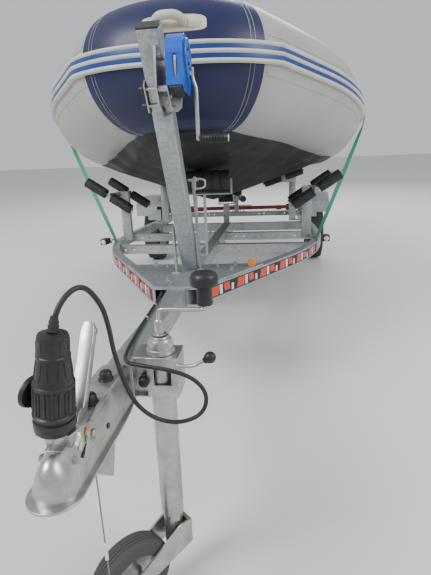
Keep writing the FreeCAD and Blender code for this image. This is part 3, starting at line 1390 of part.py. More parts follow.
# Tie-down strap across both tubes, from rail to rail
def make_strap(tube_space):
    station = float(S.strap_station)
    y = float(y_of(station))
    thick, width = float(S.strap_thickness), float(S.strap_width)
    _, _, _, spot, _ = tube_route()
    bend = float(S.side_bend_radius)
    skew = math.asin(min(0.9, max(0.0, (spot.y - y) / bend)))
    spread = 1 / math.cos(skew)
    centre = Vector(spot.x - bend * (1 - math.cos(skew)), y,
                    spot.z - (y - spot.y) * math.sin(math.radians(float(S.sheer_angle))))
    radius = float(S.rail_bend_radius)
    left = math.asin(min(1.0, max(0.0, (float(rail_bend_end) - station) / radius)))
    inset = radius * (1 - math.cos(left))
    foot = Vector(float(rail_centre) - inset + 12, y, float(S.frame_top) + float(S.seat_gap))
    reach = (float(S.tube_radius) + 0.6) * spread
    crest = (float(S.tube_radius + S.strake_thickness + S.rib_height) + 3) * spread
    half = float(S.strake_height) / 2 + 4

    def outline(extra):
        low = Vector(foot.x + extra, y, foot.z)
        side = [Vector(centre.x + crest + extra, y, centre.z - half), Vector(centre.x + crest + extra, y, centre.z + half)]
        lean = math.radians(38)
        shoulder = centre + Vector(math.cos(lean), 0, math.sin(lean)) * (reach + extra)
        slope = math.radians(64)
        middle = centre + Vector(math.cos(slope), 0, math.sin(slope)) * (reach + extra)
        crown = centre + Vector(0, 0, reach + extra)
        port = [Part.LineSegment(low, side[0]).toShape(), Part.LineSegment(side[0], side[1]).toShape(),
                Part.LineSegment(side[1], shoulder).toShape(), arc_by_middle(shoulder, middle, crown)]
        twin = [mirrored(edge) for edge in port]
        top = Part.LineSegment(crown, Vector(-crown.x, crown.y, crown.z)).toShape()
        floor = Part.LineSegment(low, Vector(-low.x, low.y, low.z)).toShape()
        return Part.Face(Part.Wire(Part.__sortEdges__(port + twin + [top, floor])))

    band = outline(thick).cut(outline(0)).extrude(Vector(0, width, 0))
    for tool in tube_space:
        band = band.cut(tool)
    solids = sorted(band.Solids, key=lambda solid: -solid.Volume)
    print("strap", [round(solid.Volume) for solid in solids])
    sub_part("tie_strap", formed("tie_strap", solids[0]))


# Moulded handle on the bow tube
def make_bow_handle():
    start, up, _, _, _ = tube_route()
    level_out = Vector(0, -up.z, up.y)
    angle = math.radians(float(S.handle_angle))
    out = level_out * math.cos(angle) + up * math.sin(angle)
    along = up * math.cos(angle) - level_out * math.sin(angle)
    gap = float(S.seat_gap)
    inner, _ = tube_halves(gap, float(tail_start_y))
    outer, _ = tube_halves(gap + 4, float(tail_start_y))
    length, height = float(S.handle_length), float(S.handle_height)
    wire = rounded_rectangle(start, Vector(1, 0, 0), along, length, height, height / 2 - 1)
    patch = outer.cut(inner).common(Part.Face(wire).extrude(out * (float(S.tube_radius) + 40)))
    surface = start + out * (float(S.tube_radius) + gap)
    bar, bend, rise, sunk = float(S.handle_bar), 26, 46, 10
    span = length / 2 - 38
    foot = surface - out * sunk - Vector(span, 0, 0)
    legs = ((rise + sunk - bend, None), (bend, 90), (2 * span - 2 * bend, None), (bend, 90), (rise + sunk - bend, None))
    edges, _, _ = bent_path(foot, out, legs, along)
    grip = swept(edges, ring(foot, out, bar)).cut(inner)
    sub_part("bow_handle", formed("bow_handle", patch.fuse(grip)))


# Jockey wheel: clamp on the drawbar, sliding tube, turning stem and fork, wheel
jockey_y = y_of(S.jockey_station)
jockey_wheel_centre = Vector()


def level_of_floor(y, radius):
    """Height in the level frame of a wheel's centre that stands on the floor once pitched."""
    pitch = math.radians(float(S.park_pitch))
    axle_z = float(S.tyre_radius)
    return axle_z + (radius - axle_z + (y - float(axle_y)) * math.sin(pitch)) / math.cos(pitch)


def make_jockey():
    x, y = float(S.jockey_x), float(jockey_y)
    outer, stem = float(S.jockey_tube_radius), float(S.jockey_stem_radius)
    low, high = float(S.clamp_low), float(S.clamp_high)
    gap = float(S.running_gap)
    plate_front = float(y_of(coupling_rear)) + 1
    plate = Part.makeBox(8, y + 48 - plate_front, high - low, Vector(float(half_bar), plate_front, low))
    body = Part.makeBox(x + outer + 10 - float(half_bar), 2 * outer + 16, 10, Vector(float(half_bar), y - outer - 8, low))
    roof = body.translated(Vector(0, 0, high - low - 10))
    collar = Part.makeCylinder(outer + 7, high - low, Vector(x, y, low))
    bolt_y, bolt_z = y - outer - 8, high - 18
    bolt = Part.makeCylinder(7, x + outer + 24 - float(half_bar), Vector(float(half_bar), bolt_y, bolt_z), Vector(1, 0, 0))
    window = Part.makeBox(outer + 8, 8, 30, Vector(x - 4, y - outer - 8, low + 12))
    front = Part.makeBox(x + outer - 20 - float(half_bar), 5, high - low, Vector(float(half_bar) + 20, y - outer - 8, low))
    head = Vector(x + outer + 20, bolt_y, bolt_z)
    lever_edges, tip, tip_way = bent_path(head, Vector(1, 0, 0), ((30, None), (14, -35), (34, None)), Vector(0, 1, 0))
    lever = swept(lever_edges, ring(head, Vector(1, 0, 0), 4.5))
    knob = Part.makeSphere(14, tip + tip_way * 12)
    bore = Part.makeCylinder(outer + gap, high - low + 2, Vector(x, y, low - 1))
    clamp = plate.multiFuse([body, roof, collar, front.cut(window), bolt]).cut(bore)
    sub_part("jockey_clamp", formed("jockey_clamp", clamp.multiFuse([lever, knob])))
    top = high + 5
    foot = float(S.jockey_tube_foot)
    tube = Part.makeCylinder(outer, top - foot, Vector(x, y, foot))
    tube = tube.cut(Part.makeCylinder(stem + gap, top - foot - 30, Vector(x, y, foot)))
    cup_outline = ((0, 0, 0), (outer + 4, 0, 0), (outer + 4, 0, 7), (outer, 0, 10), (outer - 3, 0, 16), (outer - 11, 0, 20), (0, 0, 20))
    cup = Part.Face(outline_wire(cup_outline)).revolve(Vector(), Vector(0, 0, 1), 360)
    for k in range(6):
        angle = math.radians(60 * k + 30)
        cup = cup.cut(Part.makeCylinder(5, 12, Vector((outer + 2) * math.cos(angle), (outer + 2) * math.sin(angle), 9)))
    cup.translate(Vector(x, y, top))
    spindle_radius = float(S.spindle_radius)
    passage = Part.makeCylinder(spindle_radius + gap, 80, Vector(x, y, top - 40))
    sub_part("jockey_tube", formed("jockey_tube", tube.fuse(cup).cut(passage)))
    rod_top = top + 20
    reach = float(S.jockey_crank_reach)
    spindle_foot = foot + 160
    spindle = Part.makeCylinder(spindle_radius, rod_top + 30 - spindle_foot, Vector(x, y, spindle_foot))
    washer = Part.makeCylinder(17, 3, Vector(x, y, rod_top + 0.3))
    collar = Part.makeCylinder(12, 34, Vector(x, y, rod_top + 0.3))
    base = Vector(x, y, rod_top + 30)
    bend = 14
    legs = ((34, None), (bend, 90), (reach - 2 * bend, None), (bend, -90), (4, None))
    rod_edges, tip, _ = bent_path(base, Vector(0, 0, 1), legs, Vector(0, 1, 0))
    arm = swept(rod_edges, ring(base, Vector(0, 0, 1), float(S.crank_rod_radius)))
    knob = float(S.knob_radius)
    knob_outline = ((0, 0, 0), (17, 0, 0), (18.5, 0, 4), (18.5, 0, 36), (20, 0, 40), (knob - 4, 0, 42), (knob, 0, 48),
                    (knob, 0, 66), (knob - 3, 0, 73), (knob - 10, 0, 78), (0, 0, 80))
    grip = Part.Face(outline_wire(knob_outline)).revolve(Vector(), Vector(0, 0, 1), 360)
    grip.translate(tip)
    crank = spindle.multiFuse([washer, collar, arm, grip])
    sub_part("jockey_crank", formed("jockey_crank", crank))
    stem_top = foot + 260
    nut = Part.makeCylinder(stem, 20, Vector(x, y, stem_top + 0.3))
    nut = nut.cut(Part.makeCylinder(spindle_radius + gap, 22, Vector(x, y, stem_top - 1)))
    sub_part("jockey_nut", formed("jockey_nut", nut))
    stem_foot = float(S.jockey_stem_foot)
    angle = math.radians(float(S.jockey_trail_angle))
    trail = Vector(-math.sin(angle), -math.cos(angle), 0)
    pivot = Vector(math.cos(angle), -math.sin(angle), 0)
    hub_xy = Vector(x, y, 0) + trail * float(S.jockey_trail)
    radius, width = float(S.jockey_wheel_radius), float(S.jockey_wheel_width)
    edge = 12
    lean = math.asin(math.sin(angle) * math.sin(math.radians(float(S.park_pitch))))
    reach_down = (radius - edge) * math.cos(lean) + (width / 2 - edge) * math.sin(lean) + edge
    centre = Vector(hub_xy.x, hub_xy.y, level_of_floor(hub_xy.y, reach_down))
    jockey_wheel_centre.z = centre.z
    tube_inner = Part.makeCylinder(stem, stem_top - stem_foot, Vector(x, y, stem_foot))
    tube_inner = tube_inner.cut(Part.makeCylinder(stem - 4, stem_top - stem_foot, Vector(x, y, stem_foot + 74)))
    cheek = width / 2 + 4
    behind = stem + 6
    outline = ((-behind, stem_foot + 72), (-behind, stem_foot), (float(S.jockey_trail) - 6, centre.z - 22),
               (float(S.jockey_trail) + 16, centre.z - 12), (float(S.jockey_trail) + 18, centre.z + 10),
               (float(S.jockey_trail) - 2, centre.z + 22), (0, stem_foot + 72))
    bent = [Part.makeBox(2 * cheek + 12, 10, 72, Vector(-cheek - 6, behind - 8, stem_foot))]
    for side in (-1, 1):
        face = Part.Face(outline_wire([(cheek * side, -along, z) for along, z in outline]))
        bent.append(face.extrude(Vector(6 * side, 0, 0)))
    fork_plate = bent[0].multiFuse(bent[1:])
    fork_plate.Placement = Placement(Vector(x, y, 0), Rotation(Vector(0, 0, 1), -float(S.jockey_trail_angle)))
    axle = Part.makeCylinder(7, 2 * cheek + 12, centre - pivot * (cheek + 6), pivot)
    fork = tube_inner.multiFuse([fork_plate, axle])
    sub_part("jockey_fork", formed("jockey_fork", fork))
    rim_radius = float(S.jockey_rim_radius)
    rim = Part.makeCylinder(rim_radius, width - 16, centre - pivot * (width / 2 - 8), pivot)
    hub = Part.makeCylinder(18, width + 4, centre - pivot * (width / 2 + 2), pivot)
    bore = Part.makeCylinder(7 + gap, width + 20, centre - pivot * (width / 2 + 10), pivot)
    sub_part("jockey_rim", formed("jockey_rim", rim.fuse(hub).cut(bore)))
    tyre = Part.makeCylinder(radius, width, centre - pivot * (width / 2), pivot)
    edges = [e for e in tyre.Edges if isinstance(e.Curve, Part.Circle)]
    tyre = tyre.makeFillet(edge, edges)
    tyre = tyre.cut(Part.makeCylinder(rim_radius + float(S.seat_gap), width + 2, centre - pivot * (width / 2 + 1), pivot))
    sub_part("jockey_tyre", formed("jockey_tyre", tyre))


lamp_bar_low = frame_bottom + S.tube_wall + 30


# Lamp bar on its two arms
def make_lamp_bar():
    high = lamp_bar_low
    bar = block("lamp_bar", (-S.lamp_bar_half_span, y_of(S.lamp_bar_station), high),
                (S.lamp_bar_half_span, y_of(S.lamp_bar_station + S.lamp_bar_depth), high + S.lamp_bar_height))
    sub_part("lamp_bar", bar)
    arms, lamps = [], []
    for side, name in ((1, "port"), (-1, "starboard")):
        x = rail_centre * side
        arm = block("lamp_arm_" + name, (x - 15, y_of(S.rail_rear - 100), frame_bottom + S.tube_wall),
                    (x + 15, y_of(S.lamp_bar_station + S.lamp_bar_depth), high))
        arms.append(arm)
        outer = S.lamp_bar_half_span * side
        inner = (S.lamp_bar_half_span - 190) * side
        low_x, high_x = (inner, outer) if side > 0 else (outer, inner)
        rear = y_of(S.lamp_bar_station + S.lamp_bar_depth)
        lamp = block("tail_lamp_" + name, (low_x, rear, high - 40), (high_x, rear + S.lamp_depth, high + 60))
        lamps.append(lamp)
    sub_part("lamp_arms", fused("lamp_arms", arms))
    sub_part("tail_lamps", fused("tail_lamps", lamps))


CORDS = ("plug_cable", "plug", "safety_wire", "wire_ring")


def write_parts():
    """Turn every piece nose up about the axle, centre the whole fore and aft, and write it."""
    document.recompute()
    for thing in document.Objects:
        if "Invalid" in thing.State or "Error" in thing.State:
            raise ValueError(f"{thing.Name} failed: {thing.State}")
    axle = Vector(0, float(axle_y), float(S.tyre_radius))
    stance = Placement(Vector(), Rotation(Vector(1, 0, 0), -float(S.park_pitch)), axle)
    shapes = {}
    for thing in sub_parts:
        shape = thing.Shape.copy()
        if shape.isNull() or not shape.isValid():
            raise ValueError(f"{thing.Label} has no valid shape")
        shape.transformShape(stance.toMatrix())
        shapes[thing.Label] = shape
    whole = Part.makeCompound([shape for name, shape in shapes.items() if name not in CORDS])
    box = whole.optimalBoundingBox(False)
    centring = -(box.YMin + box.YMax) / 2
    os.makedirs("parts", exist_ok=True)
    for name, shape in shapes.items():
        shape.translate(Vector(0, centring, 0))
        shape.exportStep(f"parts/{name}.step")
        print(name, len(shape.Solids), round(shape.Volume / 1000), "cm3")
    print("centring", centring, "lowest", box.ZMin)
    return centring


make_drawbar()
make_rails()
make_cross_members()
make_frame_plates()
make_axle()
make_wheel(1, "wheel_port")
make_wheel(-1, "wheel_starboard")
make_mudguards()
tube_space = make_tubes()
make_strake()
make_hull(tube_space)
make_floor(tube_space)
make_transom(tube_space)
make_thwart(tube_space)
make_motor_clamp()
make_motor_swivel()
make_motor_cowl(make_motor_leg())
make_propeller()
make_post()
make_braces()
make_winch()
make_keel_rollers()
make_banks()
make_coupling()
make_jockey()
make_plug()
make_cords()
make_strap(tube_space)
make_bow_handle()
make_lamp_bar()
centring = write_parts()
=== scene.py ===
"""Looks of an inflatable boat on its road trailer, parked on the jockey wheel.

Lengths are metres in the parked frame: +X is the boat's port side, +Y runs aft, the floor is Z = 0.
"""

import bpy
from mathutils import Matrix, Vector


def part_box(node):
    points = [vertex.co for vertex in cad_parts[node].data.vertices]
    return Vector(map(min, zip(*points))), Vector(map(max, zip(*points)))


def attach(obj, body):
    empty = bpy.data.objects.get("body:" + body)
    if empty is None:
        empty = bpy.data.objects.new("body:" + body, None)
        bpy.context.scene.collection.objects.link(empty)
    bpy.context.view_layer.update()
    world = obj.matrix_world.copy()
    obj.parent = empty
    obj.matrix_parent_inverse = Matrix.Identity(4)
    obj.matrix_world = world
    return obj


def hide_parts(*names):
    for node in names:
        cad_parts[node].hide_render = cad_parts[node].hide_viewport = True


bl_info = {
    "name": "Inflatable boat on a trailer",
    "version": (1, 0, 0),
    "blender": (4, 5, 0),
    "location": "3D View > Sidebar > Boat",
    "description": "Builds the fittings and finishes of an inflatable boat and its trailer",
    "category": "Add Mesh",
}

from math import asin, atan, ceil, copysign, cos, degrees, pi, radians, sin, sqrt, tan, tau

import bmesh
import bpy
from mathutils import Matrix, Vector
from mathutils.noise import noise

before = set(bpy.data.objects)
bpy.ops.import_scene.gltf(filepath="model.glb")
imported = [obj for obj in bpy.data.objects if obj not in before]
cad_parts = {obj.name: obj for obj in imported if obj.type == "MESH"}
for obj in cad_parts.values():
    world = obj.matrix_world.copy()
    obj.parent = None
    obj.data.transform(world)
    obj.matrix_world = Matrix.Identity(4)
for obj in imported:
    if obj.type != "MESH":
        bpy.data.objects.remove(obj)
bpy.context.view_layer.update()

ROOT = "trailer_with_boat"
PITCH = radians(3)
AXLE = Vector((0, 1.4475, 0.286))
ORIGIN_STATION = 2.7125
CENTRING = sum(corner[1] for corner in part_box("wheel_port_rim")) / 2 - AXLE.y
X, Y, Z = (Vector(row) for row in Matrix.Identity(3))


def at(x, station, z):
    """A point given on the level trailer, station metres abaft the coupling's nose line, as it stands parked."""
    dy = station - ORIGIN_STATION - AXLE.y
    dz = z - AXLE.z
    y = AXLE.y + dy * cos(PITCH) + dz * sin(PITCH) + CENTRING
    return Vector((x, y, AXLE.z - dy * sin(PITCH) + dz * cos(PITCH)))


def pitched(x, y, z):
    """A direction given on the level trailer, as it stands parked."""
    return Matrix.Rotation(-PITCH, 3, "X") @ Vector((x, y, z))


# Materials
def linear(code):
    """A #rrggbb colour as linear RGBA."""
    channels = [int(code[i:i + 2], 16) / 255 for i in (1, 3, 5)]
    return [c / 12.92 if c <= 0.04045 else ((c + 0.055) / 1.055) ** 2.4 for c in channels] + [1.0]


def add(tree, kind, inputs=None, **settings):
    """Add one node: its settings, then each input as a value or as the socket that feeds it."""
    made = tree.nodes.new(kind)
    for name, value in settings.items():
        setattr(made, name, value)
    for socket, value in (inputs or {}).items():
        if isinstance(value, bpy.types.NodeSocket):
            tree.links.new(value, made.inputs[socket])
        else:
            made.inputs[socket].default_value = value
    return made


def begin(name, constants):
    """A material's tree and shader, the constants set on the shader's own sockets."""
    made = bpy.data.materials.new(name)
    made.use_nodes = True
    shader = made.node_tree.nodes["Principled BSDF"]
    for socket, value in constants.items():
        shader.inputs[socket].default_value = value
    return made, made.node_tree, shader


def mottled(name, light, dark, blotch, roughness, grain, depth, constants):
    """Two shades in soft blotches, gloss that varies with them, and a fine grain. Lengths in millimetres."""
    made, tree, shader = begin(name, constants)
    place = add(tree, "ShaderNodeTexCoord").outputs["Object"]
    cloud = add(tree, "ShaderNodeTexNoise", {"Vector": place, "Scale": 1000 / blotch, "Detail": 4.0,
                                             "Roughness": 0.6})
    shade = add(tree, "ShaderNodeMapRange", {"Value": cloud.outputs["Fac"], "From Min": 0.3, "From Max": 0.7})
    colour = add(tree, "ShaderNodeMix", {"Factor": shade.outputs["Result"], 6: linear(dark), 7: linear(light)},
                 data_type="RGBA")
    tree.links.new(colour.outputs[2], shader.inputs["Base Color"])
    gloss = add(tree, "ShaderNodeMapRange", {"Value": cloud.outputs["Fac"], "From Min": 0.3, "From Max": 0.7,
                                             "To Min": roughness[1], "To Max": roughness[0]})
    tree.links.new(gloss.outputs["Result"], shader.inputs["Roughness"])
    fine = add(tree, "ShaderNodeTexNoise", {"Vector": place, "Scale": 1000 / grain, "Detail": 2.0})
    bump = add(tree, "ShaderNodeBump", {"Height": fine.outputs["Fac"], "Distance": depth / 1000, "Strength": 0.6})
    tree.links.new(bump.outputs["Normal"], shader.inputs["Normal"])
    return made


def galvanised_steel():
    """Hot-dip galvanised steel: zinc crystals of about 9 mm, each a slightly different grey, under a dull bloom."""
    made, tree, shader = begin("galvanised_steel", {"Metallic": 0.75})
    place = add(tree, "ShaderNodeTexCoord").outputs["Object"]
    crystals = add(tree, "ShaderNodeTexVoronoi", {"Vector": place, "Scale": 1000 / 9, "Randomness": 1.0})
    grey = add(tree, "ShaderNodeSeparateColor", {"Color": crystals.outputs["Color"]})
    cloud = add(tree, "ShaderNodeTexNoise", {"Vector": place, "Scale": 1000 / 160, "Detail": 5.0,
                                             "Roughness": 0.65})
    both = add(tree, "ShaderNodeMath", {0: grey.outputs["Red"], 1: 0.35, 2: cloud.outputs["Fac"]},
               operation="MULTIPLY_ADD")
    ramp = add(tree, "ShaderNodeValToRGB", {"Fac": both.outputs["Value"]})
    ramp.color_ramp.elements[0].position = 0.3
    ramp.color_ramp.elements[0].color = linear("#8f9497")
    ramp.color_ramp.elements[1].position = 0.95
    ramp.color_ramp.elements[1].color = linear("#b4b9bb")
    tree.links.new(ramp.outputs["Color"], shader.inputs["Base Color"])
    gloss = add(tree, "ShaderNodeMapRange", {"Value": both.outputs["Value"], "From Min": 0.3, "From Max": 0.95,
                                             "To Min": 0.62, "To Max": 0.4})
    tree.links.new(gloss.outputs["Result"], shader.inputs["Roughness"])
    bump = add(tree, "ShaderNodeBump", {"Height": cloud.outputs["Fac"], "Distance": 0.0006, "Strength": 0.5})
    tree.links.new(bump.outputs["Normal"], shader.inputs["Normal"])
    return made


# Finishes that are two shades in blotches: light and dark, blotch mm, gloss range, grain mm, grain depth mm, shader
FINISHES = {
    # Tube fabric, calendered PVC on polyester: even mid grey, satin, with a faint weave through the coating
    "grey_pvc_fabric": ("#a8a7a5", "#9e9d9b", 240, (0.42, 0.52), 2.4, 0.12, {"Coat Weight": 0.05}),
    # The same cloth dyed navy for the bow panel
    "navy_pvc_fabric": ("#0b144a", "#080f3a", 240, (0.4, 0.5), 2.4, 0.12, {"Coat Weight": 0.05}),
    # Bottom cloth, dark PVC that has rubbed on the rollers: greyed in streaks
    "bottom_pvc_fabric": ("#141518", "#0c0d0f", 120, (0.5, 0.66), 2.4, 0.15, {}),
    # Extruded rubbing strake: ivory thermoplastic, a little chalky
    "ivory_strake": ("#d0cfc8", "#c0bfb8", 90, (0.45, 0.6), 3.0, 0.08, {}),
    # Zinc-plated pressing: brighter and smoother than the dipped steel, faint yellow cast
    "zinc_plated_steel": ("#c3c4c0", "#a2a4a2", 40, (0.26, 0.4), 1.6, 0.05, {"Metallic": 0.9}),
    # Blue stove enamel of the winch housing
    "blue_enamel": ("#0a5cc8", "#084fb0", 60, (0.24, 0.34), 4.0, 0.05, {"Coat Weight": 0.2}),
    # Black moulded rubber of rollers: matt, scuffed lighter
    "black_roller_rubber": ("#2b2c2d", "#1b1c1d", 35, (0.55, 0.75), 2.0, 0.15, {}),
    # Tyre rubber: dusty dark grey, matt
    "tyre_rubber": ("#2f2f2f", "#1e1f20", 30, (0.65, 0.85), 1.5, 0.15, {}),
    # Red powder coat of the lamp bar
    "red_powder_coat": ("#7c1f22", "#64181c", 50, (0.4, 0.55), 2.0, 0.06, {}),
    # Marine plywood with grey paint: transom and thwart
    "painted_plywood": ("#b6b8b8", "#a6a9a9", 70, (0.4, 0.55), 5.0, 0.1, {}),
    # Aluminium deck boards, anodised, with a fine grain
    "anodised_deck": ("#a7a9aa", "#96989a", 50, (0.38, 0.5), 2.0, 0.1, {"Metallic": 0.85}),
    # Moulded motor cowl: dark glossy paint
    "cowl_paint": ("#2a2d31", "#22252a", 150, (0.2, 0.28), 6.0, 0.02, {"Coat Weight": 0.4}),
    # Cast aluminium under dark paint: leg, swivel and clamps
    "leg_paint": ("#2d3034", "#222529", 60, (0.34, 0.46), 2.0, 0.08, {"Metallic": 0.1}),
    # Black ABS: moulded knobs, caps, plug
    "black_abs": ("#1f2022", "#16171a", 20, (0.38, 0.52), 1.2, 0.06, {}),
    # Red acrylic lamp lens
    "red_lens": ("#b01a1a", "#92110f", 25, (0.1, 0.16), 5.0, 0.03, {"Coat Weight": 0.3}),
    # Cable sheath: soft PVC, black, dull where it has lain in the sun
    "cable_pvc": ("#232426", "#18191b", 30, (0.42, 0.55), 1.5, 0.05, {}),
    # Breakaway wire: fine steel strands, dull
    "wire_rope": ("#8f9292", "#6f7272", 6, (0.35, 0.5), 1.2, 0.12, {"Metallic": 0.85}),
    # Blue stripes let into the strake: vinyl, smooth
    "blue_stripe_vinyl": ("#103f8c", "#0c3376", 60, (0.35, 0.45), 3.0, 0.04, {}),
    # Moulded handle: beige PVC, satin, slightly soiled
    "beige_moulded_pvc": ("#cfc9bb", "#beb7a6", 45, (0.42, 0.55), 2.0, 0.08, {}),
    # Polyester webbing of the tie-down strap: green, ribbed by its weave every 2.5 mm
    "green_webbing": ("#2f6b52", "#275c46", 30, (0.65, 0.8), 1.2, 0.25, {}),
    # Black tape base under the reflective blocks, plain
    "black_tape": ("#1c1c1e", "#131315", 40, (0.45, 0.6), 1.5, 0.05, {}),
    # Plain reflective blocks: red-orange and white film
    "red_reflective_film": ("#d8402a", "#c43420", 12, (0.3, 0.42), 1.4, 0.08, {}),
    "white_reflective_film": ("#e4e6e6", "#cfd2d3", 12, (0.3, 0.42), 1.4, 0.08, {}),
    # Amber and clear acrylic lenses
    "amber_lens": ("#e08a1c", "#c87412", 20, (0.12, 0.2), 4.0, 0.03, {"Coat Weight": 0.3}),
    "clear_lens": ("#dfe3e4", "#c8cdcf", 20, (0.12, 0.2), 4.0, 0.03, {"Coat Weight": 0.3}),
    # Enamelled wheel disc: off-white, road film in patches
    "white_wheel_enamel": ("#d6d7d4", "#bfc0bd", 60, (0.35, 0.5), 3.0, 0.05, {}),
    # Rust bloom on the jockey wheel's stem
    "rust": ("#7d4a2c", "#5a3420", 5, (0.7, 0.85), 0.8, 0.2, {}),
    # White nylon: cable ties, sleeve of the breakaway wire
    "white_nylon": ("#e3e2dc", "#d2d0c8", 12, (0.4, 0.5), 1.5, 0.04, {}),
    # Green and orange paint dabs of the coupling's wear gauge, plain
    "green_gauge": ("#3f8a55", "#357848", 6, (0.4, 0.5), 1.5, 0.04, {}),
    "orange_gauge": ("#d4783a", "#c06828", 6, (0.4, 0.5), 1.5, 0.04, {}),
    # Cast iron engine block, never seen
    "cast_iron": ("#47494b", "#37393b", 20, (0.55, 0.7), 1.0, 0.1, {"Metallic": 0.6}),
}

# Finishes of the nodes that no piece replaces; those not named here are galvanised
NODE_FINISH = {
    "floor_board": "anodised_deck", "engine_block": "cast_iron",
    "motor_clamp": "leg_paint", "motor_swivel": "leg_paint", "motor_leg": "leg_paint",
    "tiller": "leg_paint", "propeller": "leg_paint",
    "winch_drum": "zinc_plated_steel", "jockey_tube": "zinc_plated_steel", "wire_ring": "zinc_plated_steel",
    "wheel_port_rim": "white_wheel_enamel", "wheel_starboard_rim": "white_wheel_enamel",
}


class FACTORY_OT_finishes(bpy.types.Operator):
    """Give every node of the frame the material of its real finish"""

    bl_idname = "factory.finishes"
    bl_label = "Finishes"

    def execute(self, context):
        galvanised_steel()
        for name, row in FINISHES.items():
            mottled(name, *row)
        for name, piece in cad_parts.items():
            made = bpy.data.materials[NODE_FINISH.get(name, "galvanised_steel")]
            piece.data.materials.clear()
            piece.data.materials.append(made)
        return {"FINISHED"}


MERGE_DISTANCE = 0.00002
BEVEL_ANGLE = radians(40)


def put(name, mesh, finishes, crease, body, replaces=(), bevel=0.0):
    """The object of a finished mesh: finishes, smooth faces up to the crease, rounded edges, riding on its body."""
    for finish in finishes:
        mesh.materials.append(bpy.data.materials[finish])
    mesh.shade_smooth()
    mesh.set_sharp_from_angle(angle=radians(crease))
    piece = bpy.data.objects.new(name, mesh)
    bpy.context.scene.collection.objects.link(piece)
    if bevel:
        edge = piece.modifiers.new("rounded edges", "BEVEL")
        edge.width, edge.segments, edge.limit_method, edge.angle_limit = bevel, 2, "ANGLE", BEVEL_ANGLE
    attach(piece, body)
    if replaces:
        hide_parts(*replaces)
    return piece


